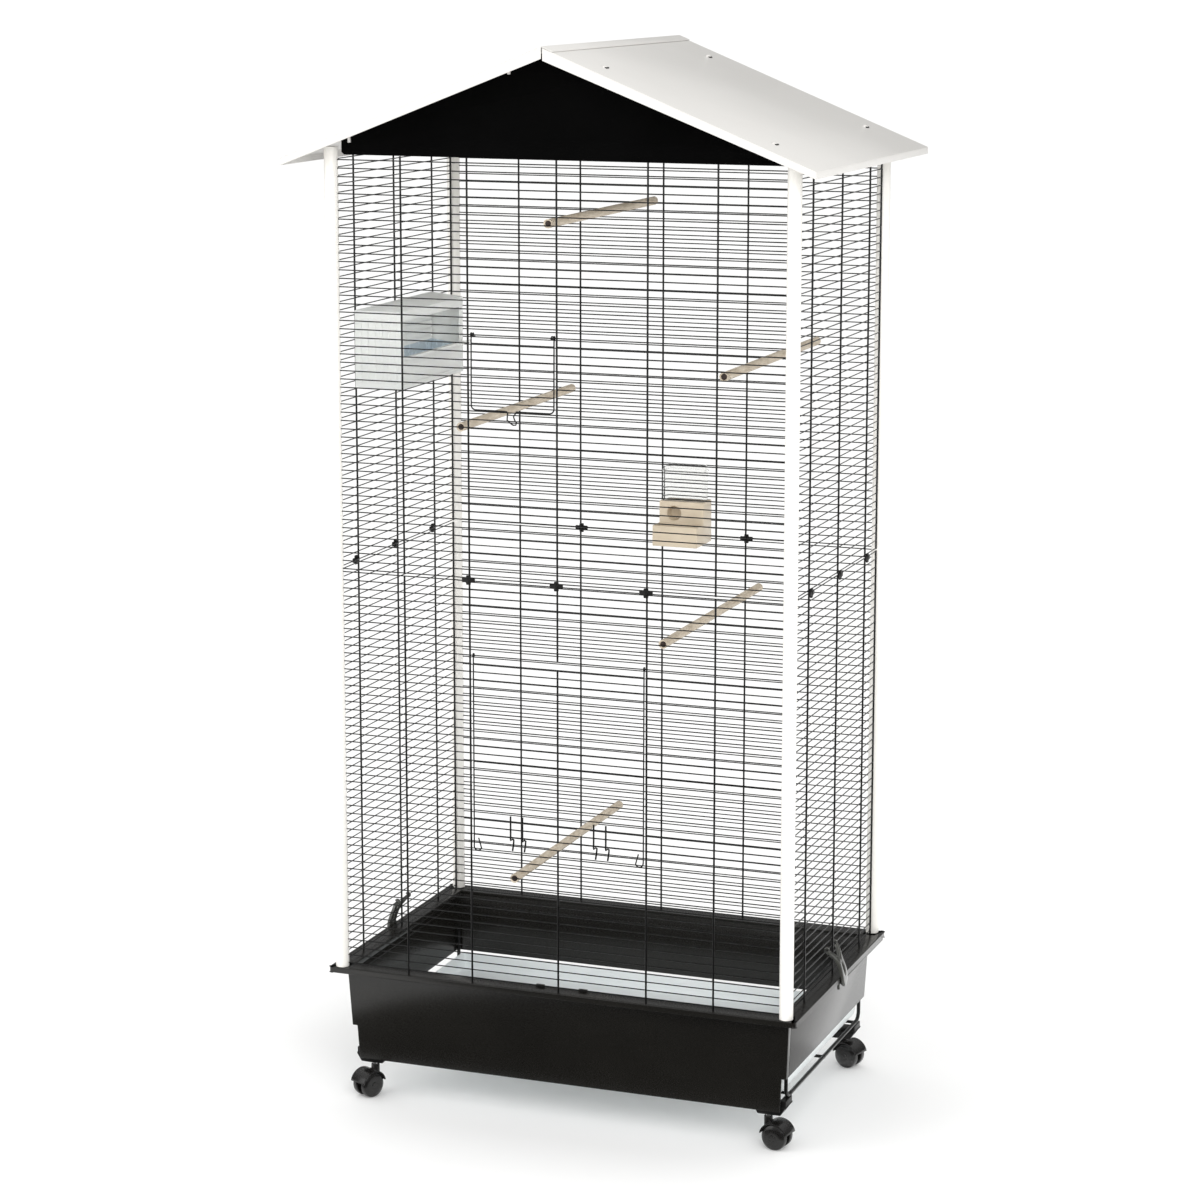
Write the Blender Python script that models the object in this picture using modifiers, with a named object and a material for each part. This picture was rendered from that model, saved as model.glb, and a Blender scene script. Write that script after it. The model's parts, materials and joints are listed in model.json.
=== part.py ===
"""Rolling bird aviary: a tall wire cage under a gabled sheet roof, on a low castered base with a drawer."""

import math

import bmesh
import bpy
from mathutils import Matrix, Vector

# Driving dimensions, in metres. +Z is up, -Y is the front, and the floor is z = 0.
TOUCH = 0.0003  # gap between pieces that touch

# Corner posts
POST_HALF_X = 0.363
POST_HALF_Y = 0.231
POST_DIAMETER = 0.021
POST_WALL = 0.0012
POST_SIDES = 20
POST_OVER_PANELS = 0.0195

# Wire panels: closely spaced thin rows, with thicker uprights outside them
ROW_PITCH = 0.0127
ROWS = 50
ROW_WIRE = 0.0018
UPRIGHT_WIRE = 0.003
FIRST_ROW_OVER_RIM = 0.0065
MID_GAP = 0.0047
BAY_WIDE = 0.249
BAY_NARROW = 0.142
SIDE_BAY = 0.148
UPPER_DOOR_ROWS = (20, 29)
LOWER_DOOR_ROWS = (17, 40)
LATCH_ROW = 3
EDGE_STEP = 7

# Doors
DOOR_WIRE = 0.0024
DOOR_SIDE_GAP = 0.0022
DOOR_END_GAP = 0.0009
HINGE_RING_INNER = 0.0017
HINGE_RING_OUTER = 0.003
CATCH_SPACING = 0.135
CATCH_WIDTH = 0.022
CATCH_HEIGHT = 0.048
CATCH_WIRE = 0.002

# Clips that join the upper and lower panels
CLIP_WIDTH = 0.021
CLIP_HEIGHT = 0.0145
CLIP_THICKNESS = 0.0035

# Roof and gables
ROOF_SLOPE = 0.405
ROOF_SHEET = 0.0015
EAVE_OVERHANG = 0.0413
FRONT_OVERHANG = 0.068
FASCIA_AT_EAVE = 0.0105
FASCIA_AT_RIDGE = 0.018
RIDGE_LAP = 0.020
RIDGE_GAP = 0.002
ROOF_HOOKS = (0.0744, 0.332)
HOOK_WIDTH = 0.004
HOOK_DROP = 0.010
GABLE_THICKNESS = 0.003
GABLE_OVER_PANELS = 0.0077
GABLE_POST_GAP = 0.0075
GABLE_ROOF_GAP = 0.0012

# Base tub, an open frame with tapering walls
RIM_THICKNESS = 0.009
RIM_OUTSIDE_POST = 0.0185
RIM_OUTSIDE_POST_Y = 0.012
RIM_INSIDE_POST_X = 0.0125
RIM_INSIDE_POST_Y = 0.0205
RIM_CORNER = 0.006
WALL_HEIGHT = 0.094
WALL_THICKNESS = 0.003
WALL_INSIDE_RIM_X = 0.019
WALL_INSIDE_RIM_Y = 0.0285
WALL_TAPER = 0.005
SPIGOT_HEIGHT = 0.025
LUG_SPACING = 0.070
LUG_WIDTH = 0.014
LUG_HEIGHT = 0.004

# Drawer
DRAWER_UNDER_FOOT_TOP = 0.0065
DRAWER_FRONT_THICKNESS = 0.0035
DRAWER_FRONT_GAP = 0.0015
DRAWER_STEP = 0.008
DRAWER_RETURN = 0.012
DRAWER_RETURN_GAP = 0.0008
TRAY_HEIGHT = 0.0285
TRAY_WALL = 0.0025
TRAY_TAPER = 0.003
TRAY_UNDER_WALL = 0.003

# Steel chassis that carries the drawer
CHASSIS_ROD = 0.006
CROSS_ROD = 0.005
CHASSIS_ROD_GAP = 0.0005
CHASSIS_BEND = 0.010
CHASSIS_REAR_INSET = 0.0145
CHASSIS_FRONT_INSET = 0.0245
CHASSIS_IN_TUB = 0.037
TRAY_OVER_ROD = 0.0005

# Casters and the feet that hold them
FOOT_WIDTH = 0.052
FOOT_DEPTH = 0.036
FOOT_HEIGHT = 0.013
FOOT_SLANT = 0.008
FOOT_FRONT_GAP = 0.0005
FOOT_SADDLE = 0.0105
SADDLE_HEIGHT = 0.0092
CASTER_INSIDE_ROD = 0.0255
CASTER_INSIDE_WALL = 0.0195
CASTER_TRAIL = 0.015
WHEEL_DIAMETER = 0.040
WHEEL_WIDTH = 0.012
WHEEL_GAP = 0.010
WHEEL_SIDES = 20
AXLE_DIAMETER = 0.006
AXLE_CLEARANCE = 0.0006
YOKE_PLATE = 0.008
STEM_DIAMETER = 0.013
STEM_IN_FOOT = 0.0095
HOOD_WALL = 0.002
HOOD_GAP = 0.0012
STEM_OVER_HOOD = 0.0093
STEM_UNDER_FOOT = 0.012
CASTER_HEADINGS = {"front_left": -116, "front_right": -10, "rear_right": -17, "rear_left": 156}

# Side latches
LATCH_SPREAD = 0.021
LATCH_WIRE = 0.0036
LATCH_STRAP = 0.008
LATCH_RIM_GAP = 0.0028
LATCH_HOOK_DEPTH = 0.013

# Perches, all running front to back, as x of the axis and its distance up or down from a panel's end
PERCH_DIAMETER = 0.0136
UPPER_PERCHES = ((-0.156, 0.2285), (0.258, 0.3235))
TOP_PERCHES = ((-0.015, 0.0858),)
LOWER_PERCHES = ((-0.073, 0.1645),)
MID_PERCHES = ((0.166, 0.0743),)

# Seed feeder on the rear panel
FEEDER_LEFT = 0.010
FEEDER_WIDTH = 0.075
FEEDER_UNDER_PANEL = 0.0085
FEEDER_DEPTH = 0.073
FEEDER_BODY_DEPTH = 0.040
FEEDER_TRAY_HEIGHT = 0.033
FEEDER_BODY_HEIGHT = 0.068
FEEDER_WALL = 0.0025
FEEDER_PORT = 0.024
RESERVOIR_HEIGHT = 0.057
RESERVOIR_INSET = 0.0035
RESERVOIR_WALL = 0.0015

# Bird bath on the left panel
BATH_OVER_PANEL = 0.2685
BATH_HEIGHT = 0.1195
BATH_FRONT = -0.158
BATH_REAR_INNER = 0.083
BATH_REAR_OUTER = 0.133
BATH_DEPTH = 0.077
BATH_WALL = 0.002
BATH_SILL = 0.049
BATH_LINTEL = 0.0155
BASIN_HEIGHT = 0.042
BASIN_WALL = 0.0015

# Sizes that follow from those above
POST_RADIUS = POST_DIAMETER / 2
PANEL_HEIGHT = ROW_PITCH * (ROWS - 1)
FOOT_BOTTOM = WHEEL_DIAMETER + HOOD_GAP + HOOD_WALL + STEM_OVER_HOOD
FOOT_TOP = FOOT_BOTTOM + FOOT_HEIGHT
DRAWER_FRONT_BOTTOM = FOOT_TOP - DRAWER_UNDER_FOOT_TOP
CHASSIS_Z = FOOT_TOP + SADDLE_HEIGHT + TOUCH + CHASSIS_ROD / 2
TRAY_BOTTOM = CHASSIS_Z + CHASSIS_ROD / 2 + TRAY_OVER_ROD
TRAY_TOP = TRAY_BOTTOM + TRAY_HEIGHT
WALL_BOTTOM = TRAY_TOP + TRAY_UNDER_WALL
RIM_BOTTOM = WALL_BOTTOM + WALL_HEIGHT
RIM_TOP = RIM_BOTTOM + RIM_THICKNESS
LOWER_START = RIM_TOP + FIRST_ROW_OVER_RIM
UPPER_START = LOWER_START + PANEL_HEIGHT + MID_GAP
PANEL_TOP = UPPER_START + PANEL_HEIGHT
MID_HEIGHT = UPPER_START - MID_GAP / 2
POST_TOP = PANEL_TOP + POST_OVER_PANELS
GABLE_BOTTOM = PANEL_TOP + GABLE_OVER_PANELS
UPRIGHT_INNER = ROW_WIRE / 2 + TOUCH
UPRIGHT_OUTER = UPRIGHT_INNER + UPRIGHT_WIRE
WHEEL_RADIUS = WHEEL_DIAMETER / 2
RIM_HALF_X = POST_HALF_X + RIM_OUTSIDE_POST
RIM_HALF_Y = POST_HALF_Y + RIM_OUTSIDE_POST_Y
WALL_HALF_X = RIM_HALF_X - WALL_INSIDE_RIM_X
WALL_HALF_Y = RIM_HALF_Y - WALL_INSIDE_RIM_Y
CHASSIS_X = WALL_HALF_X - WALL_TAPER - WALL_THICKNESS - CHASSIS_ROD_GAP - CHASSIS_ROD / 2
CHASSIS_REAR = WALL_HALF_Y - CHASSIS_REAR_INSET
CHASSIS_FRONT = CHASSIS_FRONT_INSET - WALL_HALF_Y
CASTER_X = CHASSIS_X - CASTER_INSIDE_ROD
CASTER_Y = WALL_HALF_Y - CASTER_INSIDE_WALL
FEEDER_BOTTOM = UPPER_START - FEEDER_UNDER_PANEL
BATH_BOTTOM = UPPER_START + BATH_OVER_PANEL
TRAY_HALF_X = CHASSIS_X - CHASSIS_ROD / 2 - 0.002
ROOF_HALF_X = POST_HALF_X + POST_RADIUS + EAVE_OVERHANG
ROOF_HALF_Y = POST_HALF_Y + FRONT_OVERHANG

for old in list(bpy.data.objects):
    bpy.data.objects.remove(old, do_unlink=True)

aviary = bpy.data.collections.new("bird_aviary")
bpy.context.scene.collection.children.link(aviary)


def finish(name, colour, roughness, metallic=0.0, transmission=0.0):
    """A Principled material."""
    material = bpy.data.materials.new(name)
    material.use_nodes = True
    shader = material.node_tree.nodes["Principled BSDF"]
    shader.inputs["Base Color"].default_value = (*colour, 1.0)
    shader.inputs["Roughness"].default_value = roughness
    shader.inputs["Metallic"].default_value = metallic
    shader.inputs["Transmission Weight"].default_value = transmission
    return material


FINISHES = {
    "cream_paint": ((0.86, 0.84, 0.79), 0.35, 0.0, 0.0),
    "roof_paint": ((0.78, 0.76, 0.73), 0.45, 0.0, 0.0),
    "black_sheet": ((0.004, 0.004, 0.004), 0.5, 0.0, 0.0),
    "black_wire": ((0.012, 0.012, 0.012), 0.35, 0.3, 0.0),
    "black_plastic": ((0.025, 0.024, 0.021), 0.4, 0.0, 0.0),
    "pale_plastic": ((0.62, 0.66, 0.67), 0.45, 0.0, 0.0),
    "caster_black": ((0.02, 0.02, 0.019), 0.45, 0.0, 0.0),
    "latch_black": ((0.03, 0.03, 0.026), 0.25, 0.0, 0.0),
    "perch_beige": ((0.56, 0.49, 0.38), 0.6, 0.0, 0.0),
    "feeder_beige": ((0.68, 0.60, 0.47), 0.5, 0.0, 0.0),
    "clear_plastic": ((0.93, 0.93, 0.92), 0.1, 0.0, 0.9),
    "bath_plastic": ((0.83, 0.84, 0.80), 0.3, 0.0, 0.6),
    "basin_blue": ((0.50, 0.58, 0.62), 0.3, 0.0, 0.4),
}


def box_mesh(low, high):
    """A box between two corners."""
    low, high = Vector(low), Vector(high)
    bm = bmesh.new()
    size = Matrix.Diagonal((*(high - low), 1.0))
    bmesh.ops.create_cube(bm, size=1.0, matrix=Matrix.Translation((low + high) / 2) @ size)
    return to_mesh(bm)


def to_mesh(bm):
    mesh = bpy.data.meshes.new("shape")
    bm.to_mesh(mesh)
    bm.free()
    return mesh


def cylinder_mesh(radius, low, high, sides):
    """An upright cylinder on the Z axis."""
    bm = bmesh.new()
    place = Matrix.Translation((0, 0, (low + high) / 2))
    bmesh.ops.create_cone(
        bm, cap_ends=True, segments=sides, radius1=radius, radius2=radius, depth=high - low, matrix=place
    )
    return to_mesh(bm)


def turned_mesh(profile, steps):
    """A profile of (radius, z) points from the top to the bottom, turned once round the Z axis."""
    bm = bmesh.new()
    points = [bm.verts.new((radius, 0, z)) for radius, z in profile]
    edges = [bm.edges.new(pair) for pair in zip(points, points[1:])]
    bmesh.ops.spin(
        bm, geom=points + edges, cent=(0, 0, 0), axis=(0, 0, 1), angle=math.tau, steps=steps, use_merge=True
    )
    bmesh.ops.remove_doubles(bm, verts=bm.verts, dist=0.00001)
    bmesh.ops.recalc_face_normals(bm, faces=bm.faces)
    return to_mesh(bm)


def mesh_of(curve):
    """The welded mesh of a curve's data."""
    holder = bpy.data.objects.new("curve_holder", curve)
    aviary.objects.link(holder)
    graph = bpy.context.evaluated_depsgraph_get()
    mesh = bpy.data.meshes.new_from_object(holder.evaluated_get(graph))
    bpy.data.objects.remove(holder)
    bm = bmesh.new()
    bm.from_mesh(mesh)
    bmesh.ops.remove_doubles(bm, verts=bm.verts, dist=0.00001)
    bmesh.ops.recalc_face_normals(bm, faces=bm.faces)
    bm.to_mesh(mesh)
    bm.free()
    return mesh


def add_spline(curve, points, cyclic):
    spline = curve.splines.new("POLY")
    spline.points.add(len(points) - 1)
    for target, point in zip(spline.points, points):
        target.co = (*point, *([0.0] * (3 - len(point))), 1.0)
    spline.use_cyclic_u = cyclic


def plate_mesh(outlines, low, high):
    """A flat plate in XY, from z = low to z = high. Outlines after the first are holes."""
    curve = bpy.data.curves.new("outline", "CURVE")
    curve.dimensions = "2D"
    curve.fill_mode = "BOTH"
    curve.extrude = (high - low) / 2
    for outline in outlines:
        add_spline(curve, outline, True)
    mesh = mesh_of(curve)
    mesh.transform(Matrix.Translation((0, 0, (low + high) / 2)))
    return mesh


def mosaic_mesh(tiles, low, high):
    """A flat plate of touching rectangles, from z = low to z = high, that share their corners."""
    tiles = [[round(value, 7) for value in tile] for tile in tiles]
    corners = {(x, y) for x0, y0, x1, y1 in tiles for x in (x0, x1) for y in (y0, y1)}
    bm = bmesh.new()
    verts = {corner: bm.verts.new((*corner, low)) for corner in sorted(corners)}
    for x0, y0, x1, y1 in tiles:
        inside = [c for c in corners if x0 <= c[0] <= x1 and y0 <= c[1] <= y1]
        ring = sorted(c for c in inside if c[1] == y0)
        ring += sorted(c for c in inside if c[0] == x1 and y0 < c[1] < y1)
        ring += sorted((c for c in inside if c[1] == y1), reverse=True)
        ring += sorted((c for c in inside if c[0] == x0 and y0 < c[1] < y1), reverse=True)
        bm.faces.new([verts[corner] for corner in ring])
    raised = bmesh.ops.extrude_face_region(bm, geom=list(bm.faces), use_keep_orig=True)["geom"]
    raised = [item for item in raised if isinstance(item, bmesh.types.BMVert)]
    bmesh.ops.translate(bm, verts=raised, vec=(0, 0, high - low))
    bmesh.ops.recalc_face_normals(bm, faces=bm.faces)
    return to_mesh(bm)


def rod_mesh(points, diameter, resolution=2):
    """A round rod along a path."""
    curve = bpy.data.curves.new("path", "CURVE")
    curve.dimensions = "3D"
    curve.bevel_depth = diameter / 2
    curve.bevel_resolution = resolution
    curve.use_fill_caps = True
    add_spline(curve, points, False)
    return mesh_of(curve)


def rectangle(x0, y0, x1, y1):
    return [(x0, y0), (x1, y0), (x1, y1), (x0, y1)]


def arc(centre, radius, start, end, steps):
    """Points along an arc, with the angles in degrees."""
    angles = [math.radians(start + (end - start) * i / steps) for i in range(steps + 1)]
    return [(centre[0] + radius * math.cos(a), centre[1] + radius * math.sin(a)) for a in angles]


def circle(centre, radius, sides):
    return arc(centre, radius, 0, 360, sides)[:-1]


def rounded_rectangle(half_x, half_y, radius, steps=3):
    corners = ((1, 1, 0), (-1, 1, 90), (-1, -1, 180), (1, -1, 270))
    points = []
    for side_x, side_y, start in corners:
        centre = (side_x * (half_x - radius), side_y * (half_y - radius))
        points += arc(centre, radius, start, start + 90, steps)
    return points


def shrunk(outline, amount):
    """A convex outline that runs anticlockwise, moved inward by an amount."""
    sides = []
    for start, end in zip(outline, outline[1:] + outline[:1]):
        along = (Vector(end) - Vector(start)).normalized()
        sides.append((Vector(start) + Vector((-along.y, along.x)) * amount, along))
    points = []
    for (p, d), (q, e) in zip(sides[-1:] + sides[:-1], sides):
        reach = ((q - p).x * e.y - (q - p).y * e.x) / (d.x * e.y - d.y * e.x)
        points.append(tuple(p + d * reach))
    return points


def shifted(mesh, matrix):
    """A copy of a mesh, moved."""
    moved = mesh.copy()
    moved.transform(matrix)
    if matrix.determinant() < 0:
        moved.flip_normals()
    return moved


def joined(meshes):
    """Separate closed meshes put into one, to be an operand of a Boolean."""
    bm = bmesh.new()
    for mesh in meshes:
        bm.from_mesh(mesh)
    return to_mesh(bm)


def combined(mesh, operation, *operands):
    """The exact Boolean of a mesh with each operand in turn."""
    target = bpy.data.objects.new("target", mesh)
    aviary.objects.link(target)
    cutters = []
    for operand in operands:
        cutter = bpy.data.objects.new("cutter", operand)
        cutter.hide_render = True
        cutter.display_type = "WIRE"
        aviary.objects.link(cutter)
        step = target.modifiers.new("step", "BOOLEAN")
        step.operation = operation
        step.solver = "EXACT"
        step.object = cutter
        cutters.append(cutter)
    graph = bpy.context.evaluated_depsgraph_get()
    result = bpy.data.meshes.new_from_object(target.evaluated_get(graph))
    for used in (target, *cutters):
        bpy.data.objects.remove(used)
    return result


def place(name, mesh, finish_name, location=(0, 0, 0), rotation=(0, 0, 0), smooth=False):
    """One named piece of the aviary."""
    piece = bpy.data.objects.new(name, mesh)
    piece.location = location
    piece.rotation_euler = rotation
    aviary.objects.link(piece)
    if not mesh.materials:
        mesh.materials.append(finish(name + "_" + finish_name, *FINISHES[finish_name]))
    if smooth:
        mesh.shade_smooth()
        mesh.set_sharp_from_angle(angle=math.radians(35))
    return piece


def turned_to_side(side):
    """Location and rotation of a panel's own frame: x along the panel, y up, z out of the cage."""
    headings = {"front": 0, "right": 90, "rear": 180, "left": 270}
    heading = math.radians(headings[side])
    reach = POST_HALF_Y if side in ("front", "rear") else POST_HALF_X
    location = (math.sin(heading) * reach, -math.cos(heading) * reach, 0)
    return location, (math.pi / 2, 0, heading)


def row_height(start, row):
    return start + ROW_PITCH * row


# Posts


def add_posts():
    """Four round tubes that stand over spigots on the base tub."""
    rings = [circle((0, 0), POST_RADIUS, POST_SIDES), circle((0, 0), POST_RADIUS - POST_WALL, POST_SIDES)]
    tube = plate_mesh(rings, 0, POST_TOP - RIM_TOP - TOUCH)
    for name, x, y in (
        ("post_front_left", -POST_HALF_X, -POST_HALF_Y),
        ("post_front_right", POST_HALF_X, -POST_HALF_Y),
        ("post_rear_left", -POST_HALF_X, POST_HALF_Y),
        ("post_rear_right", POST_HALF_X, POST_HALF_Y),
    ):
        place(name, tube, "cream_paint", (x, y, RIM_TOP + TOUCH), smooth=True)


# Wire panels


def panel_mesh(half_width, start, uprights, opening=None):
    """A panel of rows between two edge wires, with uprights fixed to its first and last rows."""
    half_row, half_wire = ROW_WIRE / 2, UPRIGHT_WIRE / 2
    edge = half_width - UPRIGHT_WIRE
    tiles = []
    heights = [row_height(start, row) for row in range(ROWS)]
    breaks = [heights[0] - half_row, *heights[EDGE_STEP:-EDGE_STEP:EDGE_STEP], heights[-1] + half_row]
    for low, high in zip(breaks, breaks[1:]):
        tiles += [(-half_width, low, -edge, high), (edge, low, half_width, high)]
    for row, height in enumerate(heights):
        low, high = height - half_row, height + half_row
        if opening is None or not opening[2] < row < opening[3]:
            tiles.append((-edge, low, edge, high))
            continue
        tiles.append((-edge, low, opening[0] - half_wire, high))
        tiles.append((opening[1] + half_wire, low, edge, high))
    if opening is not None:
        for x in opening[:2]:
            sill = heights[opening[2]] + half_row
            tiles.append((x - half_wire, sill, x + half_wire, heights[opening[3]] - half_row))
    rows = mosaic_mesh(tiles, -half_row, half_row)
    bars = [tie_bar(half_width, start + PANEL_HEIGHT * end) for end in (0, 1)]
    return combined(rows, "UNION", joined(bars), joined(uprights))


def tie_bar(half_width, height):
    """The deeper part of a panel's first or last row, which its uprights are fixed to."""
    reach = half_width - UPRIGHT_WIRE / 4
    half = ROW_WIRE / 2 - 0.0002
    return box_mesh((-reach, height - half, 0), (reach, height + half, UPRIGHT_INNER + UPRIGHT_WIRE / 3))


def upright_mesh(x, low, high):
    half = UPRIGHT_WIRE / 2
    return box_mesh((x - half, low, UPRIGHT_INNER), (x + half, high, UPRIGHT_OUTER))


def post_to_post(half_spacing):
    return half_spacing - POST_RADIUS - TOUCH


def add_panels():
    """An upper and a lower wire panel on each side. The front ones have openings for the doors."""
    front_half = post_to_post(POST_HALF_X)
    side_half = post_to_post(POST_HALF_Y)
    wide = (-BAY_WIDE, -BAY_NARROW, 0, BAY_NARROW, BAY_WIDE)
    deep = (-SIDE_BAY, 0, SIDE_BAY)
    lower_span = (RIM_TOP + TOUCH, LOWER_START + PANEL_HEIGHT)
    upper_span = (UPPER_START, GABLE_BOTTOM - TOUCH)
    for level, start, span in (("lower", LOWER_START, lower_span), ("upper", UPPER_START, upper_span)):
        rear = panel_mesh(front_half, start, [upright_mesh(x, *span) for x in wide])
        sides = panel_mesh(side_half, start, [upright_mesh(x, *span) for x in deep])
        if level == "upper":
            opening = (-BAY_NARROW, 0, *UPPER_DOOR_ROWS)
            fronts = [upright_mesh(x, *span) for x in wide]
        else:
            opening = (-BAY_NARROW, BAY_NARROW, *LOWER_DOOR_ROWS)
            fronts = [upright_mesh(x, *span) for x in wide if x]
            fronts += broken_upright(start, span)
        front = panel_mesh(front_half, start, fronts, opening)
        for side, mesh in (("front", front), ("rear", rear), ("left", sides), ("right", sides)):
            place(f"{level}_panel_{side}", mesh, "black_wire", *turned_to_side(side))


def broken_upright(start, span):
    """The middle upright of the lower front panel, left out across the door opening."""
    below = row_height(start, LOWER_DOOR_ROWS[0])
    above = row_height(start, LOWER_DOOR_ROWS[1])
    return [upright_mesh(0, span[0], below), upright_mesh(0, above, span[1])]


def add_clips():
    """Cross-shaped clips that hold each pair of panels together at mid-height."""
    half_x, half_y, arm = CLIP_WIDTH / 2, CLIP_HEIGHT / 2, CLIP_HEIGHT / 4
    cross = [(-half_x, -arm), (-arm, -arm), (-arm, -half_y), (arm, -half_y), (arm, -arm), (half_x, -arm)]
    cross += [(-x, -y) for x, y in cross]
    back = UPRIGHT_OUTER + TOUCH
    clip = plate_mesh([cross], back, back + CLIP_THICKNESS)
    fronts = (("left", -BAY_NARROW), ("middle", 0), ("right", BAY_NARROW))
    depths = (("front", -SIDE_BAY), ("middle", 0), ("rear", SIDE_BAY))
    for side in ("front", "rear", "left", "right"):
        location, rotation = turned_to_side(side)
        heading = rotation[2]
        for label, offset in fronts if side in ("front", "rear") else depths:
            flip = -1 if side in ("rear", "left") else 1
            along = Vector((math.cos(heading), math.sin(heading), 0)) * offset * flip
            spot = Vector(location) + along + Vector((0, 0, MID_HEIGHT))
            place(f"clip_{side}_{label}", clip, "black_plastic", spot, rotation)


# Doors


def door_mesh(x0, x1, rows, middle_upright, catches):
    """A door of wire rows in a frame, with rings round the hinge row. Heights are from the hinge."""
    row_count = rows[1] - rows[0]
    half_row, half_frame = ROW_WIRE / 2, DOOR_WIRE / 2
    left = x0 + UPRIGHT_WIRE / 2 + DOOR_SIDE_GAP
    right = x1 - UPRIGHT_WIRE / 2 - DOOR_SIDE_GAP
    bottom = -ROW_PITCH * row_count + half_row + DOOR_END_GAP
    top = -ROW_PITCH + half_row
    tiles = [(left + DOOR_WIRE, bottom, right - DOOR_WIRE, bottom + DOOR_WIRE)]
    tiles += [(left, bottom, left + DOOR_WIRE, top), (right - DOOR_WIRE, bottom, right, top)]
    for row in range(1, row_count):
        height = -ROW_PITCH * row
        tiles.append((left + DOOR_WIRE, height - half_row, right - DOOR_WIRE, height + half_row))
    door = mosaic_mesh(tiles, -half_row, half_row)
    additions = []
    for x in (left + half_frame, right - half_frame):
        additions.append(hinge_ring(x, top))
    if middle_upright:
        x = (x0 + x1) / 2
        additions.append(upright_mesh(x, bottom + DOOR_WIRE / 2, top - half_row))
        additions.append(door_tie(x, UPRIGHT_WIRE, top - half_row))
        additions.append(door_tie(x, UPRIGHT_WIRE, bottom + DOOR_WIRE / 2))
    for x in catches:
        additions.append(catch_mesh(x, bottom))
        tie_height = -ROW_PITCH * (row_count - 3)
        additions.append(door_tie(x, CATCH_WIDTH, tie_height))
    return combined(door, "UNION", *additions)


def door_tie(x, width, height):
    """A short weld that joins an upright or a catch to a door row."""
    half_width, half = width / 2 - 0.0004, ROW_WIRE / 2 - 0.0003
    return box_mesh(
        (x - half_width, height - half, 0), (x + half_width, height + half, UPRIGHT_INNER + CATCH_WIRE / 2)
    )


def hinge_ring(x, top):
    """A ring round the hinge row, with the short stalk that joins it to the door's side wire."""
    rings = [circle((0, 0), HINGE_RING_OUTER, 12), circle((0, 0), HINGE_RING_INNER, 12)]
    ring = plate_mesh(rings, -DOOR_WIRE / 2, DOOR_WIRE / 2)
    turn = Matrix.Rotation(math.radians(90), 4, "Y")
    ring.transform(Matrix.Translation((x, 0, 0)) @ turn)
    half = DOOR_WIRE / 2 - 0.0003
    stalk_top = -(HINGE_RING_INNER + HINGE_RING_OUTER) / 2
    stalk = box_mesh((x - half, top - ROW_WIRE / 2, -half / 2), (x + half, stalk_top, half / 2))
    return combined(ring, "UNION", stalk)


def catch_mesh(x, bottom):
    """A sprung U-shaped catch on the door's bottom edge."""
    half = CATCH_WIDTH / 2
    low = bottom - CATCH_HEIGHT / 4
    high = low + CATCH_HEIGHT
    wire = CATCH_WIRE
    outline = [(x - half, high), (x - half, low), (x + half, low), (x + half, high)]
    outline += [(x + half - wire, high), (x + half - wire, low + wire)]
    outline += [(x - half + wire, low + wire), (x - half + wire, high)]
    return plate_mesh([outline], UPRIGHT_INNER, UPRIGHT_INNER + wire)


def add_doors():
    """Two front doors, hung by rings from a row of their panel."""
    location, rotation = turned_to_side("front")
    half = CATCH_SPACING / 2
    for name, start, x0, x1, rows, middle, catches in (
        ("upper_door", UPPER_START, -BAY_NARROW, 0, UPPER_DOOR_ROWS, False, (-BAY_NARROW / 2,)),
        ("lower_door", LOWER_START, -BAY_NARROW, BAY_NARROW, LOWER_DOOR_ROWS, True, (-half, half)),
    ):
        hinge = Vector(location) + Vector((0, 0, row_height(start, rows[1])))
        place(name, door_mesh(x0, x1, rows, middle, catches), "black_wire", hinge, rotation)


# Roof


def roof_under(x):
    """Height of the roof's underside."""
    return POST_TOP + TOUCH + ROOF_SLOPE * (POST_HALF_X + POST_RADIUS - abs(x))


def roof_mesh(side, path):
    """A folded sheet. Its top surface follows a path from the ridge to the eave, then turns down."""
    sheet, rise = ROOF_SHEET, ROOF_SHEET * math.hypot(1, ROOF_SLOPE)
    eave_x, eave_z = path[-1]
    lip = eave_z - FASCIA_AT_EAVE
    profile = [*path, (eave_x, lip), (eave_x - sheet, lip), (eave_x - sheet, roof_under(eave_x - sheet))]
    profile += [(x, z - rise) for x, z in reversed(path[:-1])]
    ridge_x, ridge_z = path[-2]
    fascia = [(ridge_x, ridge_z), (eave_x, eave_z), (eave_x, lip), (ridge_x, ridge_z - FASCIA_AT_RIDGE)]
    stand_up = Matrix.Rotation(math.radians(90), 4, "X")
    parts = [plate_mesh([profile], -ROOF_HALF_Y + sheet / 2, ROOF_HALF_Y - sheet / 2)]
    parts.append(plate_mesh([fascia], ROOF_HALF_Y - sheet, ROOF_HALF_Y))
    parts.append(plate_mesh([fascia], -ROOF_HALF_Y, -ROOF_HALF_Y + sheet))
    parts = [shifted(part, Matrix.Diagonal((side, 1, 1, 1)) @ stand_up) for part in parts]
    return combined(parts[0], "UNION", *parts[1:])


def thickened(mesh, thickness):
    """A Solidify of an open surface, on the side away from its normals."""
    holder = bpy.data.objects.new("holder", mesh)
    aviary.objects.link(holder)
    shell = holder.modifiers.new("shell", "SOLIDIFY")
    shell.thickness = thickness
    shell.offset = -1
    shell.use_even_offset = True
    graph = bpy.context.evaluated_depsgraph_get()
    result = bpy.data.meshes.new_from_object(holder.evaluated_get(graph))
    bpy.data.objects.remove(holder)
    return result


def roof_hook(x, y):
    """A tab under the roof sheet that drops into a notch of the gable."""
    top = roof_under(x) + ROOF_SHEET / 2
    half_x, half_y = HOOK_WIDTH / 2, GABLE_THICKNESS
    return box_mesh((x - half_x, y - half_y, top - HOOK_DROP), (x + half_x, y + half_y, top))


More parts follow.
